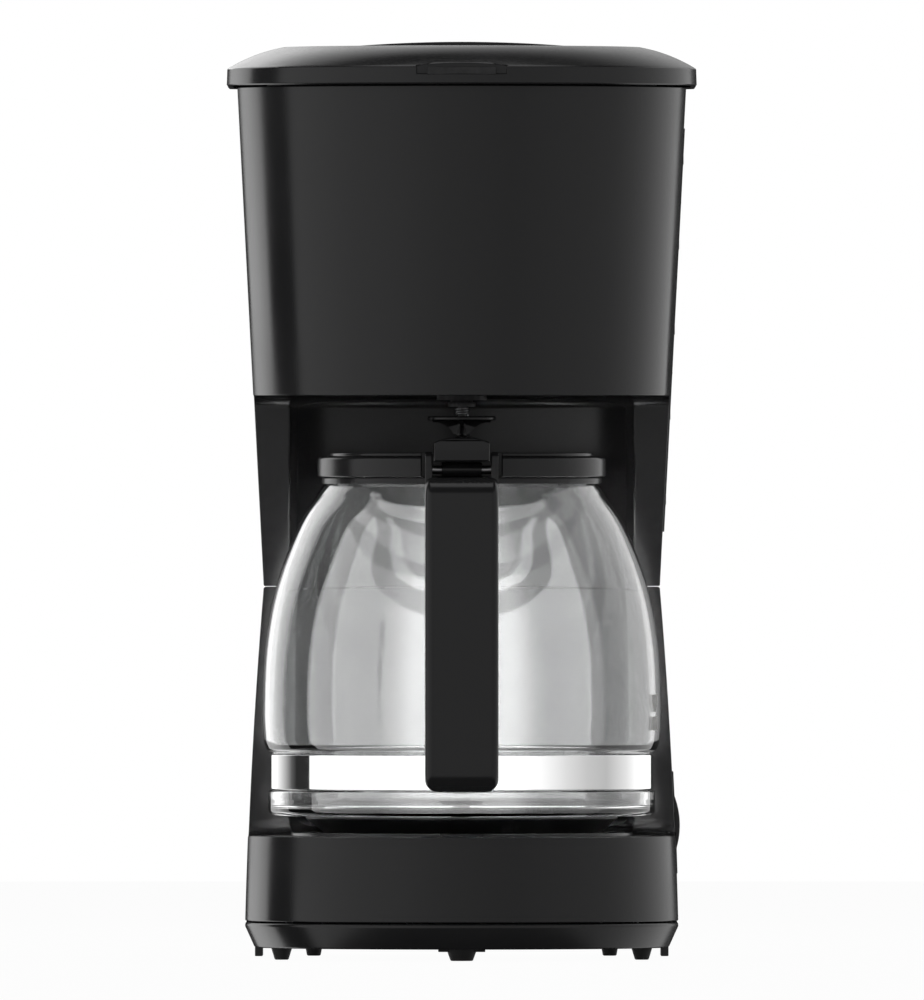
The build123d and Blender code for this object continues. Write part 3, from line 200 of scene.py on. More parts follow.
# ---- meshes --------------------------------------------------------------------------------------
def new_piece(name: str, grown: bmesh.types.BMesh) -> Piece:
    """Make an object of a finished bmesh.

    Args:
        name: name of the object and its mesh.
        grown: the mesh, which is freed.

    Returns:
        The object, linked to the scene.
    """
    bmesh.ops.remove_doubles(grown, verts=grown.verts, dist=1e-7)
    bmesh.ops.recalc_face_normals(grown, faces=grown.faces)
    mesh = bpy.data.meshes.new(name)
    grown.to_mesh(mesh)
    grown.free()
    piece = bpy.data.objects.new(name, mesh)
    bpy.context.scene.collection.objects.link(piece)
    return piece


def loft(name: str, rings: Sequence[Ring]) -> Piece:
    """Closed solid through level outlines with equal numbers of points.

    Args:
        name: name of the piece.
        rings: the outlines from the bottom up.

    Returns:
        The piece.
    """
    grown = bmesh.new()
    rows = [[grown.verts.new(spot) for spot in ring] for ring in rings]
    for lower, upper in zip(rows, rows[1:]):
        for index, corner in enumerate(lower):
            grown.faces.new((lower[index - 1], corner, upper[index], upper[index - 1]))
    grown.faces.new(list(reversed(rows[0])))
    grown.faces.new(rows[-1])
    return new_piece(name, grown)


def revolve(
    name: str, outline: Sequence[Point2], centre: Point2 = (0.0, AXIS_Y), steps: int = 144
) -> Piece:
    """Closed solid of revolution about an upright axis.

    Args:
        name: name of the piece.
        outline: closed cross-section as (radius, height) points.
        centre: where the axis stands.
        steps: number of steps round the axis.

    Returns:
        The piece.
    """
    grown = bmesh.new()
    columns = []
    for number in range(steps):
        turn = FULL_TURN * number / steps
        spoke = Vector((math.cos(turn), math.sin(turn), 0))
        base = Vector((*centre, 0))
        columns.append([grown.verts.new(base + spoke * r + Vector((0, 0, z))) for r, z in outline])
    on_axis = [radius < 1e-6 for radius, _ in outline]
    for index, column in enumerate(columns):
        before = columns[index - 1]
        for spot in range(len(outline)):
            if on_axis[spot] and on_axis[spot - 1]:
                continue
            corners = [before[spot - 1], column[spot - 1], column[spot], before[spot]]
            if on_axis[spot]:
                corners.pop()
            if on_axis[spot - 1]:
                corners.pop(0)
            grown.faces.new(corners)
    return new_piece(name, grown)


class Along(Enum):
    """Axis that a flat outline is drawn out along, with the axes that its two numbers run on."""

    X = (Vector((0, 1, 0)), Vector((0, 0, 1)), Vector((1, 0, 0)))
    Y = (Vector((1, 0, 0)), Vector((0, 0, 1)), Vector((0, 1, 0)))
    Z = (Vector((1, 0, 0)), Vector((0, 1, 0)), Vector((0, 0, 1)))


def prism(name: str, outline: Sequence[Point2], along: Along, low: float, high: float) -> Piece:
    """Flat outline drawn out into a closed solid.

    Args:
        name: name of the piece.
        outline: closed outline.
        along: axis that it is drawn out along.
        low: where the solid starts on that axis.
        high: where it ends.

    Returns:
        The piece.
    """
    across, up, out = along.value
    grown = bmesh.new()
    ends = [
        [grown.verts.new(across * a + up * b + out * depth) for a, b in outline] for depth in (low, high)
    ]
    for index in range(len(outline)):
        grown.faces.new((ends[0][index - 1], ends[0][index], ends[1][index], ends[1][index - 1]))
    for end in ends:
        grown.faces.new(end)
    return new_piece(name, grown)


def block(name: str, low: Sequence[float], high: Sequence[float]) -> Piece:
    """Plain box between two corners, for cutting openings."""
    corners = [(low[0], low[1]), (high[0], low[1]), (high[0], high[1]), (low[0], high[1])]
    return prism(name, corners, Along.Z, low[2], high[2])


def disc(centre: Point2, radius: float, count: int = 48) -> list[Point2]:
    """Closed circle as an outline."""
    return arc(centre, radius, 0, FULL_TURN, count)[:-1]


def settle(piece: Piece) -> Piece:
    """Turn a piece's modifiers into plain mesh.

    Args:
        piece: the piece, which keeps its name and loses its modifiers.

    Returns:
        The same piece.
    """
    graph = bpy.context.evaluated_depsgraph_get()
    mesh = bpy.data.meshes.new_from_object(piece.evaluated_get(graph), depsgraph=graph)
    old = piece.data
    piece.modifiers.clear()
    piece.data = mesh
    bpy.data.meshes.remove(old)
    mesh.name = piece.name
    return piece


def join(piece: Piece, *others: Piece, how: str = "DIFFERENCE") -> Piece:
    """Cut solids out of a piece, add them or keep what they share, and use them up.

    Args:
        piece: the solid that is worked on.
        others: the solids taken to it, one after another.
        how: DIFFERENCE, UNION or INTERSECT.

    Returns:
        The piece.
    """
    for other in others:
        cut = piece.modifiers.new("cut", "BOOLEAN")
        cut.operation = how
        cut.solver = "EXACT"
        cut.object = other
        settle(piece)
        bpy.data.objects.remove(other)
    return piece


def gather(piece: Piece, *others: Piece) -> Piece:
    """Put closed shells that need no cutting into one mesh.

    Args:
        piece: the piece that takes the others in.
        others: the pieces that are used up.

    Returns:
        The piece.
    """
    grown = bmesh.new()
    for part in (piece, *others):
        grown.from_mesh(part.data)
    grown.to_mesh(piece.data)
    grown.free()
    for other in others:
        bpy.data.objects.remove(other)
    return piece


def soften(piece: Piece, width: float, segments: int = 2, limit: float = math.radians(40)) -> Piece:
    """Round the sharp edges of a piece.

    Args:
        piece: the piece.
        width: how far the rounding reaches from each edge.
        segments: steps of the rounding.
        limit: only edges that turn more than this are rounded.

    Returns:
        The piece.
    """
    bevel = piece.modifiers.new("round edges", "BEVEL")
    bevel.width = width
    bevel.segments = segments
    bevel.angle_limit = limit
    bevel.use_clamp_overlap = False
    return settle(piece)


def smooth(piece: Piece, angle: float = math.radians(33)) -> Piece:
    """Shade a piece smoothly, with hard edges where it turns sharply and flats kept flat.

    Args:
        piece: the piece.
        angle: edges that turn more than this stay hard.

    Returns:
        The piece.
    """
    piece.data.shade_smooth()
    piece.data.set_sharp_from_angle(angle=angle)
    weights = piece.modifiers.new("face weights", "WEIGHTED_NORMAL")
    weights.keep_sharp = True
    return settle(piece)


def refined(node: str) -> Piece:
    """Smooth copy of a CAD node, its loose triangles merged.

    Args:
        node: name of the CAD node.

    Returns:
        The copy, named after the node.
    """
    grown = bmesh.new()
    grown.from_mesh(frame["nodes"][node].data)
    bmesh.ops.remove_doubles(grown, verts=grown.verts, dist=1e-6)
    mesh = bpy.data.meshes.new(f"{node}_form")
    grown.to_mesh(mesh)
    grown.free()
    piece = bpy.data.objects.new(f"{node}_form", mesh)
    bpy.context.scene.collection.objects.link(piece)
    return smooth(piece, math.radians(28))


# ---- repeats, made with geometry nodes -------------------------------------------------------------
class Repeat:
    """Geometry Nodes tree that repeats a shape, either along a line or round an upright axis."""

    def __init__(self, name: str, around: bool) -> None:
        """Build the tree.

        Args:
            name: name of the tree.
            around: True to turn the copies round the centre, False to step them along a line.
        """
        self.tree = bpy.data.node_groups.new(name, "GeometryNodeTree")
        sockets = [
            ("Shape", "INPUT", "NodeSocketGeometry"),
            ("Count", "INPUT", "NodeSocketInt"),
            ("Centre" if around else "Step", "INPUT", "NodeSocketVector"),
            ("Finish", "INPUT", "NodeSocketMaterial"),
            ("Repeated", "OUTPUT", "NodeSocketGeometry"),
        ]
        self.ids = {
            title: self.tree.interface.new_socket(title, in_out=way, socket_type=kind).identifier
            for title, way, kind in sockets
        }
        self.place_name = sockets[2][0]
        start = self.add("NodeGroupInput")
        line = self.add("GeometryNodeMeshLine")
        copies = self.add("GeometryNodeInstanceOnPoints")
        self.link(start.outputs["Count"], line.inputs["Count"])
        self.link(line.outputs["Mesh"], copies.inputs["Points"])
        if around:
            self.turn_copies(start, line, copies)
        else:
            self.link(start.outputs["Step"], line.inputs["Offset"])
            self.link(start.outputs["Shape"], copies.inputs["Instance"])
        real = self.add("GeometryNodeRealizeInstances")
        paint = self.add("GeometryNodeSetMaterial")
        end = self.add("NodeGroupOutput")
        self.link(copies.outputs["Instances"], real.inputs["Geometry"])
        self.link(real.outputs["Geometry"], paint.inputs["Geometry"])
        self.link(start.outputs["Finish"], paint.inputs["Material"])
        self.link(paint.outputs["Geometry"], end.inputs["Repeated"])

    def add(self, kind: str) -> bpy.types.Node:
        """Add a node of a kind to the tree."""
        return self.tree.nodes.new(kind)

    def link(self, source: Socket, target: Socket) -> None:
        """Join an output to an input."""
        self.tree.links.new(source, target)

    def turn_copies(self, start: bpy.types.Node, line: bpy.types.Node, copies: bpy.types.Node) -> None:
        """Stand every copy on the centre and turn each by its share of the circle.

        Args:
            start: the tree's input node.
            line: the node that makes one point for each copy.
            copies: the node that puts the copies on the points.
        """
        line.inputs["Offset"].default_value = (0, 0, 0)
        place = self.add("GeometryNodeSetPosition")
        self.link(line.outputs["Mesh"], place.inputs["Geometry"])
        self.link(start.outputs["Centre"], place.inputs["Offset"])
        self.link(place.outputs["Geometry"], copies.inputs["Points"])
        away = self.add("ShaderNodeVectorMath")
        away.operation = "SCALE"
        away.inputs["Scale"].default_value = -1
        self.link(start.outputs["Centre"], away.inputs[0])
        shift = self.add("GeometryNodeTransform")
        self.link(start.outputs["Shape"], shift.inputs["Geometry"])
        self.link(away.outputs["Vector"], shift.inputs["Translation"])
        self.link(shift.outputs["Geometry"], copies.inputs["Instance"])
        share = self.add("ShaderNodeMath")
        share.operation = "DIVIDE"
        share.inputs[0].default_value = FULL_TURN
        self.link(start.outputs["Count"], share.inputs[1])
        turn = self.add("ShaderNodeMath")
        turn.operation = "MULTIPLY"
        self.link(self.add("GeometryNodeInputIndex").outputs["Index"], turn.inputs[0])
        self.link(share.outputs["Value"], turn.inputs[1])
        spin = self.add("ShaderNodeCombineXYZ")
        self.link(turn.outputs["Value"], spin.inputs["Z"])
        self.link(spin.outputs["Vector"], copies.inputs["Rotation"])

    def apply(
        self, shape: Piece, count: int, place: Sequence[float], finish: Material | None = None
    ) -> Piece:
        """Repeat a shape and leave a plain mesh.

        Args:
            shape: the shape, standing where the first copy goes.
            count: number of copies.
            place: the step between copies, or the centre that they turn round.
            finish: material of the copies.

        Returns:
            The piece, which now holds every copy.
        """
        copies = shape.modifiers.new("repeat", "NODES")
        copies.node_group = self.tree
        copies[self.ids["Count"]] = count
        copies[self.ids[self.place_name]] = list(place)
        copies[self.ids["Finish"]] = finish
        return settle(shape)


# ---- shader groups -------------------------------------------------------------------------------
class ShaderGroup:
    """Node group for an effect that several finishes share."""

    def __init__(self, name: str, inputs: dict[str, float], outputs: Sequence[str]) -> None:
        """Make an empty group that reads Object coordinates.

        Args:
            name: name of the group.
            inputs: name and default of each value that goes in.
            outputs: names of the values that come out.
        """
        self.tree = bpy.data.node_groups.new(name, "ShaderNodeTree")
        for title, default in inputs.items():
            socket = self.tree.interface.new_socket(title, in_out="INPUT", socket_type="NodeSocketFloat")
            socket.default_value = default
        for title in outputs:
            self.tree.interface.new_socket(title, in_out="OUTPUT", socket_type="NodeSocketFloat")
        self.start = self.tree.nodes.new("NodeGroupInput")
        self.end = self.tree.nodes.new("NodeGroupOutput")
        self.place = self.tree.nodes.new("ShaderNodeTexCoord").outputs["Object"]

    def noise(self, size: Value, detail: float, place: Socket | None = None) -> Socket:
        """Add a noise texture.

        Args:
            size: its scale, a value or another node's output.
            detail: how many finer layers it has.
            place: coordinates it reads, or None for Object coordinates.

        Returns:
            Its Fac output.
        """
        texture = self.tree.nodes.new("ShaderNodeTexNoise")
        texture.inputs["Detail"].default_value = detail
        self.feed(texture.inputs["Scale"], size)
        self.feed(texture.inputs["Vector"], place or self.place)
        return texture.outputs["Fac"]

    def maths(self, how: str, first: Value, second: Value) -> Socket:
        """Add a Math node.

        Args:
            how: its operation; a product is kept between 0 and 1.
            first: its first value, or another node's output.
            second: its second value, or another node's output.

        Returns:
            Its result.
        """
        node = self.tree.nodes.new("ShaderNodeMath")
        node.operation = how
        node.use_clamp = how == "MULTIPLY"
        self.feed(node.inputs[0], first)
        self.feed(node.inputs[1], second)
        return node.outputs["Value"]

    def ramp(self, value: Socket, low: float, high: float) -> Socket:
        """Stretch the part of a value between two limits to 0 to 1.

        Args:
            value: the value.
            low: what becomes 0.
            high: what becomes 1.

        Returns:
            The stretched value.
        """
        node = self.tree.nodes.new("ShaderNodeMapRange")
        node.interpolation_type = "SMOOTHSTEP"
        node.inputs["From Min"].default_value = low
        node.inputs["From Max"].default_value = high
        self.feed(node.inputs["Value"], value)
        return node.outputs["Result"]

    def feed(self, target: Socket, source: Value) -> None:
        """Set an input from a plain value, or link it to an output.

        Args:
            target: the input.
            source: the value or the output.
        """
        if isinstance(source, bpy.types.NodeSocket):
            self.tree.links.new(source, target)
        else:
            target.default_value = source


def grain_group() -> ShaderGroup:
    """Fine spark-eroded mould texture, with slow patches of sheen.

    Returns:
        A group with a Size input and Height and Patch outputs.
    """
    group = ShaderGroup("mould_grain", {"Size": 2500.0}, ["Height", "Patch"])
    size = group.start.outputs["Size"]
    group.feed(group.end.inputs["Height"], group.noise(size, 3.0))
    slow = group.maths("DIVIDE", size, 160.0)
    group.feed(group.end.inputs["Patch"], group.ramp(group.noise(slow, 4.0), 0.3, 0.7))
    return group


def wear_group() -> ShaderGroup:
    """Rubbed outer edges, broken up by noise.

    Returns:
        A group with an Amount input and a Mask output.
    """
    group = ShaderGroup("edge_wear", {"Amount": 0.3}, ["Mask"])
    edge = group.tree.nodes.new("ShaderNodeNewGeometry").outputs["Pointiness"]
    broken = group.ramp(group.noise(220.0, 6.0), 0.35, 0.7)
    rubbed = group.maths("MULTIPLY", group.ramp(edge, 0.52, 0.6), broken)
    group.feed(group.end.inputs["Mask"], group.maths("MULTIPLY", rubbed, group.start.outputs["Amount"]))
    return group


def dust_group() -> ShaderGroup:
    """Thin dust that lies on faces that look up.

    Returns:
        A group with an Amount input and a Mask output.
    """
    group = ShaderGroup("settled_dust", {"Amount": 0.1}, ["Mask"])
    split = group.tree.nodes.new("ShaderNodeSeparateXYZ")
    group.feed(split.inputs["Vector"], group.tree.nodes.new("ShaderNodeNewGeometry").outputs["Normal"])
    level = group.ramp(split.outputs["Z"], 0.5, 1.0)
    specks = group.ramp(group.noise(900.0, 8.0), 0.42, 0.72)
    lying = group.maths("MULTIPLY", level, specks)
    group.feed(group.end.inputs["Mask"], group.maths("MULTIPLY", lying, group.start.outputs["Amount"]))
    return group


def brushed_group() -> ShaderGroup:
    """Fine level streaks of rolled and polished metal.

    Returns:
        A group with a Fineness input and Height and Streak outputs.
    """
    group = ShaderGroup("polish_lines", {"Fineness": 4000.0}, ["Height", "Streak"])
    stretch = group.tree.nodes.new("ShaderNodeMapping")
    stretch.inputs["Scale"].default_value = (0.02, 0.02, 1.0)
    group.feed(stretch.inputs["Vector"], group.place)
    lines = group.noise(group.start.outputs["Fineness"], 4.0, stretch.outputs["Vector"])
    group.feed(group.end.inputs["Height"], lines)
    group.feed(group.end.inputs["Streak"], group.ramp(lines, 0.35, 0.65))
    return group


# ---- finishes ------------------------------------------------------------------------------------
SLOT_COLOURS = {entry["slot"]: tuple(entry["base_color"][:3]) for entry in frame["record"]["materials"]}
NODE_SLOTS = {entry["node"]: entry["material_slot"] for entry in frame["record"]["subparts"]}
DUST_COLOUR = (0.32, 0.31, 0.29, 1.0)
SMOOTHEST = 0.02  # least roughness of any finish
GRAIN_HEIGHT = 0.05 * MM
CLEAR_LIFT = 0.03  # how much paler than its slot's colour clear glass is


@dataclass(frozen=True)
class Finish:
    """How one material slot looks: its sheen, moulded or brushed surface, worn edges and dust."""

    roughness: float
    metallic: float = 0.0
    grain_size: float = 2600.0
    grain_depth: float = 0.12
    patches: float = 0.04
    wear: float = 0.25
    dust: float = 0.05
    brushed: bool = False
    transmission: float = 0.0
    index: float = 1.5
    clearness: float = 0.0

    def make(self, slot: str, groups: dict[str, ShaderGroup]) -> Material:
        """Build the material.

        Args:
            slot: the record's slot, which gives the name and colour.
            groups: the shared shader groups.

        Returns:
            The material.
        """
        material = bpy.data.materials.new(slot)
        material.use_nodes = True
        tree = material.node_tree
        shader = tree.nodes["Principled BSDF"]
        shader.inputs["Metallic"].default_value = self.metallic
        shader.inputs["Transmission Weight"].default_value = self.transmission
        shader.inputs["IOR"].default_value = self.index
        texture = self.place(tree, groups["lines" if self.brushed else "grain"])
        texture.inputs[0].default_value = self.grain_size
        dust = self.place(tree, groups["dust"])
        dust.inputs["Amount"].default_value = self.dust
        self.colour(tree, shader, SLOT_COLOURS[slot], groups["wear"], dust.outputs["Mask"])
        sheen = tree.nodes.new("ShaderNodeMapRange")
        sheen.inputs["To Min"].default_value = max(SMOOTHEST, self.roughness - self.patches)
        sheen.inputs["To Max"].default_value = self.roughness + self.patches
        tree.links.new(texture.outputs[1], sheen.inputs["Value"])
        duller = tree.nodes.new("ShaderNodeMath")
        tree.links.new(sheen.outputs["Result"], duller.inputs[0])
        tree.links.new(dust.outputs["Mask"], duller.inputs[1])
        tree.links.new(duller.outputs["Value"], shader.inputs["Roughness"])
        bump = tree.nodes.new("ShaderNodeBump")
        bump.inputs["Strength"].default_value = self.grain_depth
        bump.inputs["Distance"].default_value = GRAIN_HEIGHT
        tree.links.new(texture.outputs["Height"], bump.inputs["Height"])
        tree.links.new(bump.outputs["Normal"], shader.inputs["Normal"])
        return material

    def colour(
        self,
        tree: bpy.types.NodeTree,
        shader: bpy.types.Node,
        own: Sequence[float],
        wear_effect: ShaderGroup,
        dust_mask: Socket,
    ) -> None:
        """Colour the shader: plain where nothing wears it, else with paler edges and dust.

        Args:
            tree: the material's tree.
            shader: its Principled BSDF.
            own: the slot's colour.
            wear_effect: the shared group for rubbed edges.
            dust_mask: output that says where dust lies.
        """
        target = shader.inputs["Base Color"]
        grey = sum(own) / len(own) + CLEAR_LIFT
        plain = (*(part + (grey - part) * self.clearness for part in own), 1.0)
        if self.wear == self.dust == 0:
            target.default_value = plain
            return
        wear = self.place(tree, wear_effect)
        wear.inputs["Amount"].default_value = self.wear
        worn = (*(min(1.0, 2.5 * part + 0.03) for part in plain[:3]), 1.0)
        rubbed = self.blend(tree, wear.outputs["Mask"], plain, worn)
        tree.links.new(self.blend(tree, dust_mask, rubbed, DUST_COLOUR), target)

    @staticmethod
    def place(tree: bpy.types.NodeTree, group: ShaderGroup) -> bpy.types.Node:
        """Put a shared group into a material's tree."""
        node = tree.nodes.new("ShaderNodeGroup")
        node.node_tree = group.tree
        return node

    @staticmethod
    def blend(
        tree: bpy.types.NodeTree, mask: Socket, first: Socket | Sequence[float], second: Sequence[float]
    ) -> Socket:
        """Mix two colours by a mask.

        Args:
            tree: the material's tree.
            mask: output that gives the second colour's share.
            first: a colour, or an output that gives one.
            second: a colour.

        Returns:
            The mixed colour.
        """
        mix = tree.nodes.new("ShaderNodeMix")
        mix.data_type = "RGBA"
        tree.links.new(mask, mix.inputs["Factor"])
        colour_in = [socket for socket in mix.inputs if socket.type == "RGBA"]
        if isinstance(first, bpy.types.NodeSocket):
            tree.links.new(first, colour_in[0])
        else:
            colour_in[0].default_value = first
        colour_in[1].default_value = second
        return next(socket for socket in mix.outputs if socket.type == "RGBA")


FINISHES = {
    "tower_plastic": Finish(0.19, grain_size=3000.0, grain_depth=0.08),
    "base_plastic": Finish(0.2, grain_size=3000.0, grain_depth=0.08),
    "lid_plastic": Finish(0.2, grain_size=2400.0, grain_depth=0.1),
    "handle_plastic": Finish(0.2, grain_depth=0.05),
    "inner_plastic": Finish(0.45, grain_depth=0.3, dust=0.0),
    "tank_plastic": Finish(0.4, grain_depth=0.15, transmission=0.35, dust=0.0),
    "window_plastic": Finish(0.12, grain_depth=0.03, transmission=0.4, dust=0.0),
    "switch_plastic": Finish(0.16, grain_depth=0.04),
    "carafe_glass": Finish(
        0.03,
        grain_size=60.0,
        grain_depth=0.02,
        patches=0.01,
        wear=0.0,
        dust=0.0,
        transmission=1.0,
        clearness=0.8,
    ),
    "band_steel": Finish(
        0.05,
        metallic=1.0,
        grain_size=2500.0,
        grain_depth=0.04,
        patches=0.03,
        brushed=True,
        wear=0.0,
        dust=0.0,
    ),
    "plate_coating": Finish(0.4, grain_size=1800.0, grain_depth=0.4, wear=0.4, dust=0.0),
    "cast_aluminium": Finish(0.5, metallic=1.0, grain_size=900.0, grain_depth=0.6),
    "steel": Finish(0.3, metallic=1.0, brushed=True, dust=0.0),
    "silicone": Finish(0.5, transmission=0.25, dust=0.0),
    "seal_rubber": Finish(0.6, grain_depth=0.3),
    "foot_rubber": Finish(0.65, grain_size=1500.0, grain_depth=0.5),
    "filter_mesh": Finish(0.35, metallic=0.6, grain_size=5000.0, grain_depth=0.8, dust=0.0),
    "sleeve": Finish(0.7, grain_size=4000.0, grain_depth=0.8),
}


class Workshop:
    """Holds the finishes and puts each piece in its place in the frame."""

    def __init__(self) -> None:
        """Make the shared shader groups, the materials and the repeating trees."""
        groups = {
            "grain": grain_group(),
            "wear": wear_group(),
            "dust": dust_group(),
            "lines": brushed_group(),
        }
        self.materials = {slot: finish.make(slot, groups) for slot, finish in FINISHES.items()}
        self.row = Repeat("repeat_in_a_row", around=False)
        self.circle = Repeat("repeat_in_a_circle", around=True)

    def fit(self, piece: Piece, *nodes: str) -> Piece:
        """Dress a piece and let it stand for its CAD nodes.

        Args:
            piece: the finished piece.
            nodes: the CAD nodes that it stands for, all on one body and with one slot.

        Returns:
            The piece.
        """
        slot = NODE_SLOTS[nodes[0]]
        self.dress(piece, slot)
        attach(piece, frame["nodes"][nodes[0]]["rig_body"])
        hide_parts(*nodes)
        log.info("%s stands for %s", piece.name, ", ".join(nodes))
        return piece

    def attach(self, piece: Piece, node: str, slot: str) -> Piece:
        """Dress a small extra piece that moves with a node's body.

        Args:
            piece: the finished piece.
            node: the CAD node whose body it rides on.
            slot: its material slot.

        Returns:
            The piece.
        """
        self.dress(piece, slot)
        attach(piece, frame["nodes"][node]["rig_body"])
        log.info("%s rides with %s", piece.name, node)
        return piece

    def dress(self, piece: Piece, slot: str) -> None:
        """Give a piece the material of a slot."""
        piece.data.materials.clear()
        piece.data.materials.append(self.materials[slot])

    def refine(self, *nodes: str) -> None:
        """Stand a smooth copy in for each CAD node."""
        for node in nodes:
            self.fit(refined(node), node)

    def carry_over(self) -> None:
        """Give every CAD node that still shows its own material."""
        for name, node in frame["nodes"].items():
            if not node.hide_render:
                self.dress(node, NODE_SLOTS[name])
                log.info("%s is carried over", name)


# ---- housings ------------------------------------------------------------------------------------
@dataclass
class Bay:
    """The hollow that takes the jug: a round back wall between two flat-faced columns."""

    radius: float = 79.0 * MM
    column_face: float = 37.7 * MM
    floor: float = 46.9 * MM
    roof: float = 214.0 * MM
    floor_round: float = 6.0 * MM
    roof_round: float = 5.0 * MM
    reach: float = 120.0 * MM

    def ring(self, inset: float, height: float) -> Ring:
        """Level outline of the hollow, moved in by inset."""
        radius, face = self.radius - inset, self.column_face - inset
        start = math.asin((face - AXIS_Y) / radius)
        outline = [(-self.reach, -self.reach), (self.reach, -self.reach), (self.reach, face)]
        outline += arc((0, AXIS_Y), radius, start, math.pi - start, 72)
        outline.append((-self.reach, face))
        return [Vector((x, y, height)) for x, y in outline]

    def form(self, margin: float = 0.0) -> Piece:
        """Solid that fills the hollow.

        Args:
            margin: how much larger than the hollow it is.

        Returns:
            The solid, for cutting.
        """
        turns = [RIGHT_ANGLE * n / 6 for n in range(7)]
        low, high = self.floor_round + margin, self.roof_round + margin
        floor, roof = self.floor - margin, self.roof + margin
        levels = [(low * (1 - math.sin(a)), floor + low * (1 - math.cos(a))) for a in turns]
        levels += [(high * (1 - math.sin(a)), roof - high * (1 - math.cos(a))) for a in reversed(turns)]
        return loft("bay_form", [self.ring(inset - margin, height) for inset, height in levels])


@dataclass
class Housings:
    """Tower, base and bottom cover: the black shell of the machine."""

    shop: Workshop
    bay: Bay = field(default_factory=Bay)
    rear: float = 122.0 * MM
    corner: float = 14.0 * MM
    wall: float = 2.5 * MM
    edge: float = 0.6 * MM
    waist: float = 141.4 * MM
    waist_half: float = 75.5 * MM
    body_top: float = 331.3 * MM
    top_half: float = 85.3 * MM
    parting: float = 0.2 * MM
    base_low: float = 14.5 * MM
    base_halves: tuple[Point2, ...] = (
        (14.5 * MM, 82.3 * MM),
        (60.0 * MM, 80.7 * MM),
        (141.2 * MM, 75.5 * MM),
    )
    corner_edge: float = 0.45 * MM
    outlet_radius: float = 13.6 * MM
    ear_middle: float = 59.0 * MM
    ear_width: float = 6.0 * MM
    ear_depth: float = 6.4 * MM
    ear_foot: float = 321.0 * MM
    pad_radius: float = 65.0 * MM
    pad_top: float = 48.1 * MM
    pad_notch: float = 16.0 * MM
    plate_hole: float = 49.0 * MM
    bezel_frame: float = 2.1 * MM
    cord_hole: float = 6.0 * MM
    vent_count: int = 7
    vent_spacing: float = 9.0 * MM
    vent_width: float = 3.2 * MM
    vent_ends: tuple[float, float] = (-15.0 * MM, 19.0 * MM)
    screw_places: tuple[Point2, ...] = ((-52, -36), (52, -36), (-66, 60), (66, 60), (-20, 111), (20, 111))
    screw_well: float = 3.8 * MM
    screw_wall: float = 0.7 * MM
    rib_middle: float = 77.4 * MM
    rib_width: float = 3.0 * MM
    rib_ends: tuple[float, float] = (51.0 * MM, 81.0 * MM)
    cover_low: float = 4.4 * MM
    cover_bevel: float = 12.5 * MM
    cover_top: float = 14.1 * MM
    cover_lean: float = 3.4 * MM

    def build(self) -> None:
        """Make every piece of the shell."""
        shop = self.shop
        shop.fit(self.tower(), "tower_housing")
        shop.fit(self.base(), "base_housing")
        shop.fit(self.cover(), "bottom_cover")
        for node in ("side_feet", "rear_feet", "centre_foot"):
            shop.fit(self.feet(node), node)

    def tower_half(self, height: float) -> float:
        """Half width of the tower at a height."""
        share = (height - self.waist) / (self.body_top - self.waist)
        return self.waist_half + (self.top_half - self.waist_half) * share

    def base_half(self, height: float) -> float:
        """Half width of the base at a height, on one long curve through three known widths."""
        (a, first), (b, second), (c, third) = self.base_halves
        return (
            first * (height - b) * (height - c) / ((a - b) * (a - c))
            + second * (height - a) * (height - c) / ((b - a) * (b - c))
            + third * (height - a) * (height - b) / ((c - a) * (c - b))
        )

    def shell(
        self, name: str, half: Callable[[float], float], low: float, high: float, inset: float = 0.0
    ) -> Piece:
        """Solid form of a housing between two heights.

        Args:
            name: name of the piece.
            half: gives the half width at a height.
            low: lower edge.
            high: upper edge.
            inset: how far the form is moved in; a form that is moved in has no rounded edges.

        Returns:
            The solid.
        """
        levels = [(inset, low + (high - low) * n / 12) for n in range(13)]
        if not inset:
            levels = eased(low, high, self.edge, 14)
        rings = [
            plan_ring(half(height) - move, self.rear - move, self.corner - move, height)
            for move, height in levels
        ]
        return loft(name, rings)

    def hollow(self, half: Callable[[float], float], low: float, high: float) -> Piece:
        """Space inside a housing, which leaves a wall round the bay."""
        space = self.shell("hollow_form", half, low - 2 * MM, high + 2 * MM, self.wall)
        return join(space, self.bay.form(self.wall))

    def tower(self) -> Piece:
        """Upper housing: two columns, back wall and hood, with the ears of the lid hinge."""
        low = self.waist + self.parting
        piece = self.shell("tower_shell", self.tower_half, low, self.body_top)
        hood_floor = self.bay.roof
        outlet = prism(
            "outlet_form",
            disc((0, AXIS_Y), self.outlet_radius),
            Along.Z,
            hood_floor - 14 * MM,
            hood_floor + 11 * MM,
        )
        window_low, window_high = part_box("water_window")
        gap = 0.1 * MM
        opening = block(
            "window_form",
            (window_low[0] - 5 * MM, window_low[1] - gap, window_low[2] - gap),
            (window_high[0] + 5 * MM, window_high[1] + gap, window_high[2] + gap),
        )
        hollow = self.hollow(self.tower_half, low, self.body_top)
        join(piece, self.bay.form(), hollow, outlet, opening)
        smooth(soften(piece, self.corner_edge))
        return gather(piece, self.ear(-self.ear_middle), self.ear(self.ear_middle))

    def ear(self, middle: float) -> Piece:
        """One ear of the lid hinge.

        Args:
            middle: where its middle stands across the machine.

        Returns:
            The ear.
        """
        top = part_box("tower_housing")[1]
        front, round_top = top[1] - self.ear_depth, self.ear_depth / 2 - 0.1 * MM
        corners = [
            (front, self.ear_foot, 0.0),
            (top[1], self.ear_foot, 0.0),
            (top[1], top[2], round_top),
            (front, top[2], round_top),
        ]
        half = self.ear_width / 2
        ear = prism("hinge_ear", rounded(corners), Along.X, middle - half, middle + half)
        return smooth(soften(ear, 0.4 * MM))

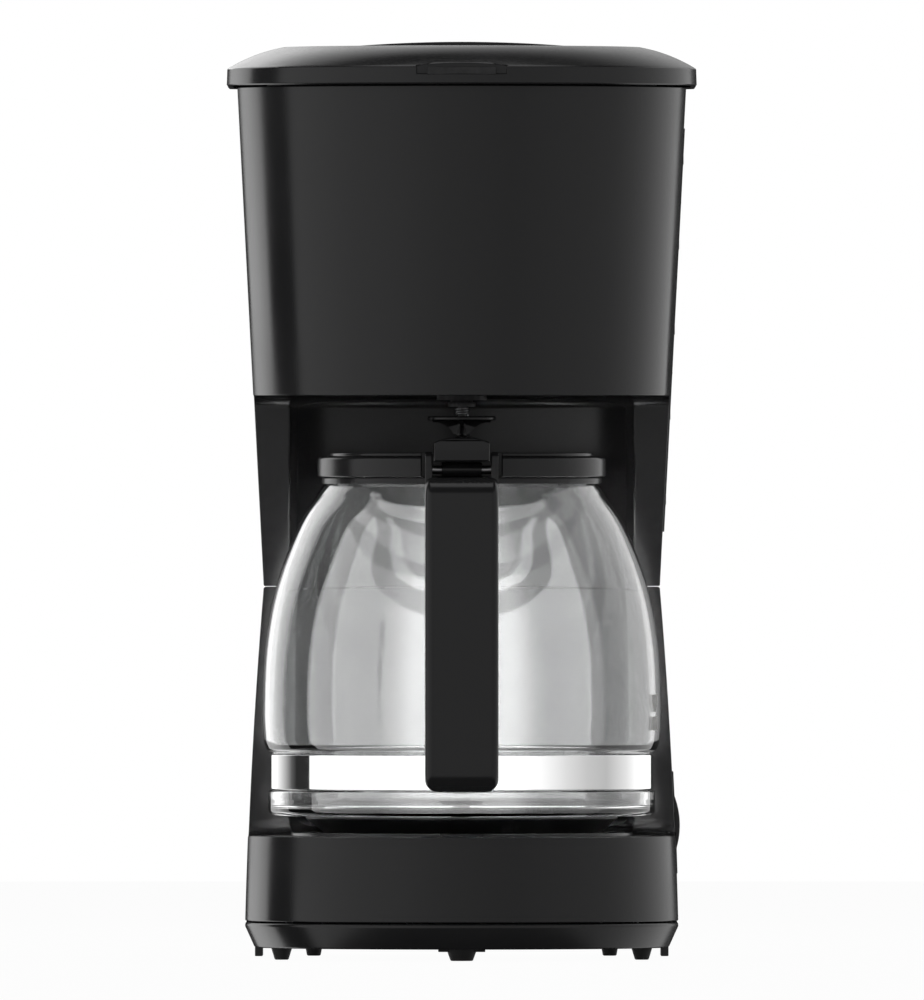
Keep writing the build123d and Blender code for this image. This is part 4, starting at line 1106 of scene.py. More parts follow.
    def base(self) -> Piece:
        """Lower housing: the shelf with the plate's pad, and the feet of the columns."""
        high = self.waist - self.parting
        piece = self.shell("base_shell", self.base_half, self.base_low, high)
        join(piece, self.bay.form())
        root, radius = self.bay.floor - 1.9 * MM, self.pad_radius
        corners = [(0, root, 0), (radius, root, 0), (radius, self.pad_top, 0.5 * MM), (0, self.pad_top, 0)]
        join(piece, revolve("pad_form", rounded(corners)), how="UNION")
        half, depth = self.pad_notch / 2, 5 * MM
        notch = block(
            "notch_form",
            (-half, AXIS_Y - radius - depth, self.bay.floor),
            (half, AXIS_Y - radius + depth, self.pad_top + 1.9 * MM),
        )
        well = prism(
            "plate_hole_form",
            disc((0, AXIS_Y), self.plate_hole, 96),
            Along.Z,
            self.bay.floor - 6.9 * MM,
            self.bay.floor + 8.1 * MM,
        )
        bezel_low, bezel_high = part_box("switch_bezel")
        opening = block(
            "switch_form",
            (bezel_low[0] - 8 * MM, bezel_low[1] + self.bezel_frame, bezel_low[2] + self.bezel_frame),
            (bezel_high[0] + 5 * MM, bezel_high[1] - self.bezel_frame, bezel_high[2] - self.bezel_frame),
        )
        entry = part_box("cord_gland")
        middle = ((entry[0][0] + entry[1][0]) / 2, (entry[0][2] + entry[1][2]) / 2)
        gland = prism(
            "gland_form", disc(middle, self.cord_hole), Along.Y, self.rear - 10 * MM, self.rear + 8 * MM
        )
        join(piece, self.hollow(self.base_half, self.base_low, high), notch, well, opening, gland)
        return smooth(soften(piece, self.corner_edge))

    def cover_shell(self, name: str, inset: float, low: float, high: float) -> Piece:
        """Tray form of the bottom cover, whose lower wall leans in.

        Args:
            name: name of the piece.
            inset: how far the form is moved in.
            low: its lower edge.
            high: its upper edge.

        Returns:
            The solid.
        """
        levels = [(self.cover_lean + self.edge, low), (self.cover_lean, low + self.edge)]
        levels += [(0.0, self.cover_bevel), (0.0, high - self.edge), (self.edge, high)]
        rings = []
        for lean, height in levels:
            move = inset + lean
            half = self.base_halves[0][1] - move
            rings.append(plan_ring(half, self.rear - move, self.corner - move, height))
        return loft(name, rings)

    def cover(self) -> Piece:
        """Bottom cover with its vent slots, screw wells and side ribs."""
        piece = self.cover_shell("cover_shell", 0.0, self.cover_low, self.cover_top)
        floor = self.cover_low + self.wall
        inside = self.cover_shell("tray_form", self.wall, floor, self.cover_top + 2 * MM)
        join(piece, inside, self.vents())
        for x, y in self.screw_places:
            centre = (x * MM, y * MM)
            outer = disc(centre, self.screw_well + self.screw_wall, 32)
            post = prism("post_form", outer, Along.Z, floor - 1 * MM, self.cover_top - 2.7 * MM)
            join(piece, post, how="UNION")
            well = prism("well_form", disc(centre, self.screw_well, 32), Along.Z, 0.0, floor + 0.5 * MM)
            join(piece, well)
        smooth(soften(piece, 0.35 * MM))
        return gather(piece, self.rib(-self.rib_middle), self.rib(self.rib_middle))

    def vents(self) -> Piece:
        """Row of vent slots through the cover's floor, for cutting."""
        left = -self.vent_spacing * (self.vent_count - 1) / 2
        half, round_end = self.vent_width / 2, self.vent_width / 2 - 0.05 * MM
        front, back = self.vent_ends
        slot = [
            (left - half, front, round_end),
            (left + half, front, round_end),
            (left + half, back, round_end),
            (left - half, back, round_end),
        ]
        row = prism("vent_form", rounded(slot), Along.Z, 0.0, self.cover_top + 5.9 * MM)
        return self.shop.row.apply(row, self.vent_count, (self.vent_spacing, 0, 0))

    def rib(self, middle: float) -> Piece:
        """One standing rib under the cover's side.

        Args:
            middle: where its middle stands across the machine.

        Returns:
            The rib.
        """
        half = self.rib_width / 2
        front, back = self.rib_ends
        rib = block("side_rib", (middle - half, front, 0.4 * MM), (middle + half, back, 6 * MM))
        return soften(rib, 0.3 * MM)

    def feet(self, node: str) -> Piece:
        """Rubber feet of one node, each a rounded cone.

        Args:
            node: name of the CAD node, which gives the feet's places.

        Returns:
            The feet as one piece.
        """
        low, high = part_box(node)
        top, tread = (high[1] - low[1]) / 2, 2.6 * MM
        spots = [low[0] + top, high[0] - top]
        if node == "centre_foot":
            top, tread = 5.8 * MM, 4.2 * MM
            spots = [0.0]
        corners = [(0, 0, 0), (tread, 0, 0.7 * MM), (top, self.cover_low, 0), (0, self.cover_low, 0)]
        y = (low[1] + high[1]) / 2
        feet = [revolve("foot", rounded(corners), (x, y), 40) for x in spots]
        if node == "centre_foot":
            thick, half = 1 * MM, 3 * MM
            flange = block("flange", (low[0], y - half, high[2] - thick), (high[0], y + half, high[2]))
            feet.append(soften(flange, 0.2 * MM))
        feet[0].name = f"{node}_rubber"
        return smooth(gather(*feet))


@dataclass
class TopLid:
    """Hinged lid over the basket: rim, arched shoulder, level crest, rear hump and hinge barrel."""

    shop: Workshop
    low: float = 331.7 * MM
    rim_top: float = 338.2 * MM
    rim_half: float = 89.3 * MM
    corner: float = 14.0 * MM
    shell: float = 2.2 * MM
    shoulder: tuple[tuple[float, float, float], ...] = (
        (89.1 * MM, 338.2 * MM, 118.0 * MM),
        (78.9 * MM, 343.3 * MM, 111.5 * MM),
        (67.9 * MM, 346.4 * MM, 100.0 * MM),
    )
    hump_half: float = 58.0 * MM
    barrel_half: float = 72.0 * MM

    def build(self) -> None:
        """Make the lid."""
        self.shop.fit(self.cap(), "top_lid")

    def along_shoulder(self, share: float) -> Vector:
        """Half width, height and rear of the shoulder, from its foot at 0 to the crest at 1."""
        first, second, third = (Vector(spot) for spot in self.shoulder)
        return (
            first * (1 - share) * (1 - 2 * share) + second * 4 * share * (1 - share) + third * share * (2 * share - 1)
        )

    def form(self, name: str, inset: float, low: float) -> Piece:
        """Domed solid of the lid.

        Args:
            name: name of the piece.
            inset: how far the form is moved in.
            low: height of its lower edge.

        Returns:
            The solid.
        """
        rear = self.shoulder[0][2]
        edge = 0.5 * MM
        levels = [
            (self.rim_half - edge, low, rear - edge),
            (self.rim_half - 0.15 * edge, low + 0.4 * edge, rear - 0.15 * edge),
            (self.rim_half, low + edge, rear),
            (self.rim_half - 0.1 * MM, (low + self.rim_top) / 2, rear),
        ]
        levels += [tuple(self.along_shoulder(n / 14)) for n in range(15)]
        rings = []
        for half, height, back in levels:
            drop = inset if height >= self.rim_top else 0.0
            rings.append(plan_ring(half - inset, back - inset, self.corner - inset, height - drop, 128))
        return loft(name, rings)

    def cap(self) -> Piece:
        """The lid's one moulding, with the finger notch in its front."""
        piece = self.form("lid_shell", 0.0, self.low)
        crest = self.shoulder[2][1]
        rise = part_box("top_lid")[1][2] - crest
        radius = (self.hump_half**2 + rise**2) / (2 * rise)
        half_turn = math.asin(self.hump_half / radius)
        top = (0.0, crest + rise - radius)
        arch = arc(top, radius, RIGHT_ANGLE + half_turn, RIGHT_ANGLE - half_turn, 40)
        arch += [(self.hump_half, crest - 1.5 * MM), (-self.hump_half, crest - 1.5 * MM)]
        join(piece, self.form("lid_space", self.shell, self.low - 2 * MM))
        front = AXIS_Y - self.rim_half
        notch = block("notch_form", (-17 * MM, front - 5 * MM, 335.5 * MM), (17 * MM, front + 2.5 * MM, 345 * MM))
        slots = [
            block("slot_form", (x - 3.4 * MM, 113.2 * MM, 325 * MM), (x + 3.4 * MM, 125 * MM, 350 * MM))
            for x in (-59 * MM, 59 * MM)
        ]
        join(piece, notch, *slots)
        smooth(soften(piece, 0.4 * MM))
        hump = prism("hump", arch, Along.Y, 91 * MM, 101 * MM)
        tab = block("tab", (-13 * MM, front + 0.5 * MM, 335.2 * MM), (13 * MM, front + 3 * MM, 338.0 * MM))
        parts = [smooth(soften(hump, 0.4 * MM)), smooth(soften(tab, 0.3 * MM))]
        hinge_y, hinge_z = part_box("hinge_pins")[0][1] + 1.5 * MM, 335 * MM
        for low, high in ((-72.0, -62.5), (-55.5, 55.5), (62.5, 72.0)):
            barrel = prism("barrel", disc((hinge_y, hinge_z), 3.2 * MM, 36), Along.X, low * MM, high * MM)
            parts.append(smooth(soften(barrel, 0.3 * MM)))
        return gather(piece, *parts)


# ---- jug -----------------------------------------------------------------------------------------
@dataclass
class Jug:
    """Glass jug with its steel band, neck collar and handle."""

    shop: Workshop
    base_radius: float = 73.5 * MM
    waist_radius: float = 71.9 * MM
    neck_radius: float = 51.4 * MM
    glass: float = 2.2 * MM
    low: float = 54.5 * MM
    top: float = 182.6 * MM
    belly: tuple[Point2, ...] = (
        (75.2, 82.4), (75.8, 95.0), (74.7, 119.0), (70.5, 141.7), (62.0, 164.5), (54.0, 178.2)
    )
    handle_half: float = 13.9 * MM
    handle_front: float = -124.0 * MM
    handle_low: float = 64.2 * MM
    handle_top: float = 182.8 * MM
    grip: float = 14.0 * MM

    def build(self) -> None:
        """Make the jug's pieces."""
        shop = self.shop
        shop.fit(self.body(), "carafe_glass")
        shop.fit(self.band(), "carafe_band")
        shop.fit(self.collar(), "carafe_collar")
        shop.fit(self.handle(), "carafe_handle")
        shop.attach(self.print_marks(), "carafe_glass", "silicone")

    def outside(self) -> list[Point2]:
        """Half outline of the glass from the middle of its base up to its lip."""
        foot = rounded(
            [
                (0, self.low, 0),
                (self.base_radius, self.low, 2.3 * MM),
                (self.base_radius, 63.7 * MM, 0.5 * MM),
                (self.waist_radius, 64.4 * MM, 0.4 * MM),
                (self.waist_radius, 77.8 * MM, 0.4 * MM),
                (self.waist_radius + 2.3 * MM, 79.5 * MM, 2.0 * MM),
                (75.2 * MM, 82.4 * MM, 0),
                (0, 82.4 * MM, 0),
            ],
            math.radians(9),
        )[:-2]
        curve = flowing([(r * MM, z * MM) for r, z in self.belly])
        neck = [(self.neck_radius + 0.5 * MM, 181.0 * MM), (self.neck_radius, 181.8 * MM)]
        return foot + curve + neck

    def inside(self) -> list[Point2]:
        """Half outline of the hollow, from the lip down to the middle of the floor."""
        curve = flowing([(r * MM - 0.93 * self.glass, z * MM - 0.3 * self.glass) for r, z in self.belly])
        waist = self.waist_radius - self.glass
        floor = self.low + self.glass
        foot = rounded(
            [
                (0, 82.0 * MM, 0),
                (75.2 * MM - 0.93 * self.glass, 82.0 * MM, 0),
                (waist + 1.4 * MM, 80.0 * MM, 2.0 * MM),
                (waist, 78.4 * MM, 0.8 * MM),
                (waist, floor + 4 * MM, 1.2 * MM),
                (waist + 0.4 * MM, floor, 2.2 * MM),
                (0, floor, 0),
            ],
            math.radians(9),
        )[2:]
        neck = [(self.neck_radius - self.glass, 181.6 * MM)]
        return neck + list(reversed(curve)) + foot

    def body(self) -> Piece:
        """The blown glass, with a fire-polished lip."""
        lip_radius = self.glass / 2
        lip = arc((self.neck_radius - lip_radius, self.top - lip_radius), lip_radius, 0, math.pi, 8)
        return smooth(revolve("glass_jug", self.outside() + lip + self.inside(), steps=192))

    def print_marks(self) -> Piece:
        """Small pale marks printed on the right of the glass, that show where the jug is full."""
        face = 75.85 * MM
        marks = [
            block("jug_marks", (-half * MM, -face, low * MM), (half * MM, -face + 0.3 * MM, high * MM))
            for half, low, high in ((3.2, 96.6, 100.6), (2.0, 94.0, 96.6), (3.2, 87.0, 92.2))
        ]
        piece = gather(*marks)
        turn = Matrix.Rotation(math.radians(75), 4, "Z")
        piece.data.transform(Matrix.Translation((0, AXIS_Y, 0)) @ turn)
        return piece

    def band(self) -> Piece:
        """Polished band round the foot of the jug, with the lug that takes the handle's lower screw."""
        low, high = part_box("carafe_band")
        radius = high[0]
        corners = [
            (radius - 0.62 * MM, low[2], 0.15 * MM),
            (radius, low[2], 0.3 * MM),
            (radius, high[2], 0.3 * MM),
            (radius - 0.62 * MM, high[2], 0.15 * MM),
        ]
        piece = smooth(revolve("steel_band", rounded(corners, math.radians(20)), steps=192))
        lug = block("lug", (-5.5 * MM, low[1], 70.3 * MM), (5.5 * MM, AXIS_Y - radius + 0.3 * MM, 71.7 * MM))
        return gather(piece, smooth(soften(lug, 0.2 * MM)))

    def collar(self) -> Piece:
        """Thin collar that clamps the neck, with the lug for the handle's upper screw."""
        low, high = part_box("carafe_collar")
        radius = high[0]
        corners = [
            (self.neck_radius + 0.2 * MM, 182.0 * MM, 0),
            (radius - 0.15 * MM, 180.2 * MM, 0.2 * MM),
            (radius, 181.0 * MM, 0.2 * MM),
            (radius, high[2], 0.35 * MM),
            (self.neck_radius + 0.15 * MM, high[2], 0),
        ]
        piece = smooth(revolve("neck_collar", rounded(corners, math.radians(20)), steps=160))
        lug = block("lug", (-5.5 * MM, low[1], 180.0 * MM), (5.5 * MM, AXIS_Y - radius + 0.4 * MM, 181.6 * MM))
        return gather(piece, smooth(soften(lug, 0.2 * MM)))

    def handle(self) -> Piece:
        """D-shaped handle with softly rounded long edges and two ears for the lid's pin."""
        front, back = self.handle_front, self.handle_front + self.grip
        upper, lower = self.handle_top - 12.4 * MM, self.handle_low + 13.6 * MM
        collar_end, band_end = AXIS_Y - 50.0 * MM, AXIS_Y - 70.0 * MM
        corners = [
            (collar_end, self.handle_top, 0),
            (front, self.handle_top, 9 * MM),
            (front, self.handle_low, 9 * MM),
            (band_end, self.handle_low, 0),
            (band_end, lower, 0),
            (back, lower, 7 * MM),
            (back, upper, 7 * MM),
            (collar_end, upper, 0),
        ]
        half = self.handle_half
        piece = prism("jug_handle", rounded(corners, math.radians(9)), Along.X, -half, half)
        soften(piece, 2.8 * MM, 5, math.radians(60))
        front_outline = rounded(
            [
                (-half, self.handle_low, 5 * MM),
                (half, self.handle_low, 5 * MM),
                (half, self.handle_top, 0),
                (-half, self.handle_top, 0),
            ],
            math.radians(10),
        )
        limits = prism("handle_form", front_outline, Along.Y, front - 1 * MM, 0.0)
        join(piece, limits, how="INTERSECT")
        space = [(r + 0.4 * MM, z) for r, z in self.outside() if z < self.top]
        space += [(53.3 * MM, 179.0 * MM), (53.3 * MM, 184 * MM), (0, 184 * MM)]
        space[0] = (0, space[0][1])
        join(piece, revolve("jug_form", [spot for spot in space if spot[1] < 179 * MM or spot[0] > 53 * MM or not spot[0]], steps=128))
        smooth(piece)
        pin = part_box("carafe_lid_pin")
        pin_y = (pin[0][1] + pin[1][1]) / 2
        outline = rounded(
            [
                (pin_y + 6.5 * MM, 178.8 * MM, 0),
                (pin_y - 9.0 * MM, 178.8 * MM, 0),
                (pin_y - 6.0 * MM, 192.5 * MM, 2.5 * MM),
                (pin_y + 4.5 * MM, 192.5 * MM, 2.5 * MM),
            ]
        )
        ears = [
            smooth(soften(prism("ear", outline, Along.X, min(a, b), max(a, b)), 0.5 * MM))
            for a, b in ((-half, -11.1 * MM), (11.1 * MM, half))
        ]
        return gather(piece, *ears)


@dataclass
class JugLid:
    """Flip lid of the jug with its thumb lever."""

    shop: Workshop
    radius: float = 54.7 * MM
    step_radius: float = 50.2 * MM
    low: float = 183.1 * MM
    edge: float = 190.9 * MM
    top: float = 192.3 * MM
    dish_radius: float = 34.0 * MM
    dish_floor: float = 188.0 * MM
    notch_half: float = 15.4 * MM
    tongue_half: float = 7.6 * MM

    def build(self) -> None:
        """Make the lid and its lever."""
        self.shop.fit(self.cap(), "carafe_lid")
        self.shop.fit(self.lever(), "thumb_lever")

    def cap(self) -> Piece:
        """Round lid with a dished top, a plug that sits in the neck and the hinge tongue."""
        plug = 47.8 * MM
        corners = [
            (8 * MM, 186 * MM, 0),
            (plug - 1.8 * MM, 186 * MM, 0),
            (plug - 1.8 * MM, 178.6 * MM, 0.3 * MM),
            (plug, 178.6 * MM, 0.3 * MM),
            (plug, self.low, 0),
            (self.radius, self.low, 0.6 * MM),
            (self.radius, self.edge, 1.4 * MM),
            (self.step_radius, self.edge, 0.5 * MM),
            (self.step_radius, self.top, 0.5 * MM),
            (self.dish_radius, self.top, 0.8 * MM),
            (self.dish_radius - 4 * MM, self.dish_floor, 1.5 * MM),
            (8 * MM, self.dish_floor, 0),
        ]
        piece = revolve("jug_lid", rounded(corners, math.radians(15)), steps=160)
        notch_y = AXIS_Y - 47.6 * MM
        notch = block("notch_form", (-self.notch_half, notch_y - 20 * MM, 170 * MM), (self.notch_half, notch_y, 200 * MM))
        join(piece, notch)
        smooth(soften(piece, 0.35 * MM))
        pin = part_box("carafe_lid_pin")
        pin_y, pin_z = (pin[0][1] + pin[1][1]) / 2, (pin[0][2] + pin[1][2]) / 2
        tongue = block(
            "tongue", (-self.tongue_half, pin_y, pin_z - 2.2 * MM), (self.tongue_half, notch_y + 4 * MM, pin_z + 2.2 * MM)
        )
        knuckle = prism("knuckle", disc((pin_y, pin_z), 2.8 * MM, 32), Along.X, -self.tongue_half, self.tongue_half)
        return gather(piece, smooth(soften(tongue, 0.3 * MM)), smooth(soften(knuckle, 0.3 * MM)))

    def lever(self) -> Piece:
        """Thumb lever: a low block whose crest arches across and whose front leans back for the thumb."""
        low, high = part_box("thumb_lever")
        rear = high[1]
        front = low[1]
        corners = [
            (rear, low[2], 0),
            (front + 0.6 * MM, low[2], 0.4 * MM),
            (front, low[2] + 0.6 * MM, 0.4 * MM),
            (front + 1.4 * MM, 193.6 * MM, 9 * MM),
            (front + 2.2 * MM, high[2], 1.6 * MM),
            (front + 9.5 * MM, high[2], 2.5 * MM),
            (front + 13.0 * MM, 192.6 * MM, 3 * MM),
            (rear, 191.4 * MM, 0),
        ]
        outline = rounded(corners, math.radians(12))
        half = high[0]
        piece = prism("jug_lever", outline, Along.X, -half, half)
        side_top = 196.1 * MM
        rise = high[2] - side_top
        radius = (half**2 + rise**2) / (2 * rise)
        reach = math.asin(half / radius)
        crest = arc((0, high[2] - radius), radius, RIGHT_ANGLE - reach, RIGHT_ANGLE + reach, 24)
        crest += [(-half, low[2] - 1 * MM), (half, low[2] - 1 * MM)]
        join(piece, prism("crest_form", crest, Along.Y, front - 5 * MM, rear + 5 * MM), how="INTERSECT")
        return smooth(soften(piece, 0.6 * MM, 3))


# ---- works ---------------------------------------------------------------------------------------
@dataclass
class Works:
    """Plate, basket, drip stop, switch, window and the small parts inside."""

    shop: Workshop
    rocker_half: float = 7.0 * MM
    filter_ribs: int = 36
    window_marks: int = 9

    def build(self) -> None:
        """Make the working parts."""
        shop = self.shop
        shop.fit(self.plate(), "warming_plate")
        shop.fit(self.rocker(), "switch_rocker")
        shop.refine(
            "water_window", "switch_bezel", "basket_well", "filter_basket", "reusable_filter", "drip_stem",
            "lid_liner", "shower_head", "water_tank", "spout_elbow", "cord_gland", "cover_screws", "hinge_pins",
            "handle_screws", "carafe_lid_pin", "lid_funnel", "drip_seal", "drip_spring",
        )
        shop.attach(self.ribs(), "reusable_filter", "inner_plastic")
        shop.attach(self.level_marks(), "water_window", "silicone")

    def plate(self) -> Piece:
        """Coated warming plate: a pressed dish with a rolled edge."""
        low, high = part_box("warming_plate")
        radius, sheet = high[0], 1.2 * MM
        corners = [
            (0, high[2], 0),
            (radius, high[2], 0.55 * MM),
            (radius - 8.0 * MM, low[2], 0.5 * MM),
            (radius - 9.8 * MM, low[2], 0.5 * MM),
            (radius - 2.6 * MM, high[2] - sheet, 1.0 * MM),
            (0, high[2] - sheet, 0),
        ]
        return smooth(revolve("hot_plate", rounded(corners, math.radians(15))))

    def rocker(self) -> Piece:
        """Rocker of the switch, its face bowed."""
        low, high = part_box("switch_rocker")
        middle_y = (low[1] + high[1]) / 2
        face, middle_z, reach, bow = high[0], (low[2] + high[2]) / 2, (high[2] - low[2]) / 2, 2.1 * MM
        radius = (reach**2 + bow**2) / (2 * bow)
        half_turn = math.asin(reach / radius)
        outline = arc((face - radius, middle_z), radius, -half_turn, half_turn, 20)
        outline += [(low[0] + 0.8 * MM, middle_z + 6.8 * MM), (low[0], middle_z), (low[0] + 0.8 * MM, middle_z - 6.8 * MM)]
        half = self.rocker_half
        piece = prism("rocker_cap", outline, Along.Y, middle_y - half, middle_y + half)
        smooth(soften(piece, 0.6 * MM, 3, math.radians(50)))
        axle = prism("axle", disc((76.5 * MM, middle_z), 1.5 * MM, 24), Along.Y, low[1], high[1])
        return gather(piece, smooth(axle))

    def ribs(self) -> Piece:
        """Ribs that carry the filter's mesh, repeated round the cone."""
        low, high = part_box("reusable_filter")
        bottom, top, width = 55.0 * MM, 65.6 * MM, 0.6 * MM
        foot, head = low[2] + 1.2 * MM, high[2] - 3.0 * MM
        outline = [(bottom - 1.6 * MM, foot), (bottom - 0.2 * MM, foot), (top, head), (top - 1.4 * MM, head)]
        rib = prism("filter_ribs", outline, Along.Y, -width / 2, width / 2)
        rib.data.transform(Matrix.Translation((0, AXIS_Y, 0)))
        return self.shop.circle.apply(rib, self.filter_ribs, (0, AXIS_Y, 0))

    def level_marks(self) -> Piece:
        """Moulded level marks and plain even numbers on the water window."""
        low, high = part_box("water_window")
        lean = (85.3 - 75.5) / (331.3 - 141.2)
        spacing = (high[2] - low[2] - 24 * MM) / (self.window_marks - 1)
        start_z = low[2] + 12 * MM
        face = high[0] - lean * (high[2] - start_z)
        inner = high[1] - 2.5 * MM
        mark = block(
            "level_marks", (face - 0.4 * MM, inner - 7 * MM, start_z - 0.3 * MM), (face + 0.12 * MM, inner, start_z + 0.3 * MM)
        )
        self.shop.row.apply(mark, self.window_marks, (lean * spacing, 0, spacing))
        numbers = [self.number(str(2 * n + 2), (face + 2 * n * lean * spacing, low[1] + 3 * MM, start_z + 2 * n * spacing)) for n in range(5)]
        return gather(mark, *numbers)

    @staticmethod
    def number(text: str, place: Sequence[float]) -> Piece:
        """Raised number that faces right.

        Args:
            text: the number.
            place: middle of its left edge on the window.

        Returns:
            The number as a mesh.
        """
        curve = bpy.data.curves.new("number", "FONT")
        curve.body = text
        curve.size = 5.5 * MM
        curve.extrude = 0.12 * MM
        curve.resolution_u = 4
        curve.align_y = "CENTER"
        writing = bpy.data.objects.new("number", curve)
        bpy.context.scene.collection.objects.link(writing)
        bpy.context.view_layer.update()
        mesh = bpy.data.meshes.new_from_object(writing.evaluated_get(bpy.context.evaluated_depsgraph_get()))
        bpy.data.objects.remove(writing)
        facing = Matrix(((0, 0, 1), (1, 0, 0), (0, 1, 0))).to_4x4()
        mesh.transform(Matrix.Translation(place) @ facing)
        piece = bpy.data.objects.new("number", mesh)
        bpy.context.scene.collection.objects.link(piece)
        return piece


# ---- studio --------------------------------------------------------------------------------------
@dataclass(frozen=True)
class Panel:
    """Tall curved reflector that stands round the machine and glows inwards.

    Stops are pairs of an angle and a glow. Angles run round the machine from the front, positive to its
    right. Levels are pairs of a height and the share of the glow there.
    """

    name: str
    stops: tuple[Point2, ...]
    levels: tuple[Point2, ...] = ((-1.0, 1.0), (1.3, 1.0))
    radius: float = 1.3
    widest: float = 5.0

    def columns(self) -> list[Point2]:
        """Angles and glows of the mesh's columns, with no two more than the widest step apart."""
        found = [self.stops[0]]
        for (start, first), (end, last) in zip(self.stops, self.stops[1:]):
            parts = math.ceil((end - start) / self.widest)
            found += [
                (start + (end - start) * n / parts, first + (last - first) * n / parts)
                for n in range(1, parts + 1)
            ]
        return found

    def stand(self, receivers: bpy.types.Collection) -> Piece:
        """Build the reflector.

        Args:
            receivers: the collection that says which pieces it lights.

        Returns:
            The reflector.
        """
        grown = bmesh.new()
        glow = grown.verts.layers.float.new("glow")
        rows = []
        for height, share in self.levels:
            row = []
            for angle, level in self.columns():
                turn = math.radians(angle)
                corner = grown.verts.new(
                    (self.radius * math.sin(turn), AXIS_Y - self.radius * math.cos(turn), height)
                )
                corner[glow] = level * share
                row.append(corner)
            rows.append(row)
        for under, over in zip(rows, rows[1:]):
            for n in range(len(under) - 1):
                grown.faces.new((under[n], over[n], over[n + 1], under[n + 1]))
        mesh = bpy.data.meshes.new(self.name)
        grown.to_mesh(mesh)
        grown.free()
        mesh.materials.append(self.light())
        piece = bpy.data.objects.new(self.name, mesh)
        bpy.context.scene.collection.objects.link(piece)
        piece.visible_camera = False
        piece.visible_shadow = False
        piece.light_linking.receiver_collection = receivers
        return piece

    def light(self) -> Material:
        """Clear material that glows by the stored glow, on the side that faces the machine."""
        material = bpy.data.materials.new(f"{self.name}_light")
        material.use_nodes = True
        tree = material.node_tree
        tree.nodes.clear()
        glow = tree.nodes.new("ShaderNodeAttribute")
        glow.attribute_name = "glow"
        behind = tree.nodes.new("ShaderNodeNewGeometry")
        facing = tree.nodes.new("ShaderNodeMath")
        facing.operation = "SUBTRACT"
        facing.inputs[0].default_value = 1.0
        tree.links.new(behind.outputs["Backfacing"], facing.inputs[1])
        strength = tree.nodes.new("ShaderNodeMath")
        strength.operation = "MULTIPLY"
        tree.links.new(glow.outputs["Fac"], strength.inputs[0])
        tree.links.new(facing.outputs["Value"], strength.inputs[1])
        shine = tree.nodes.new("ShaderNodeEmission")
        tree.links.new(strength.outputs["Value"], shine.inputs["Strength"])
        clear = tree.nodes.new("ShaderNodeBsdfTransparent")
        both = tree.nodes.new("ShaderNodeAddShader")
        tree.links.new(shine.outputs["Emission"], both.inputs[0])
        tree.links.new(clear.outputs["BSDF"], both.inputs[1])
        end = tree.nodes.new("ShaderNodeOutputMaterial")
        tree.links.new(both.outputs["Shader"], end.inputs["Surface"])
        return material


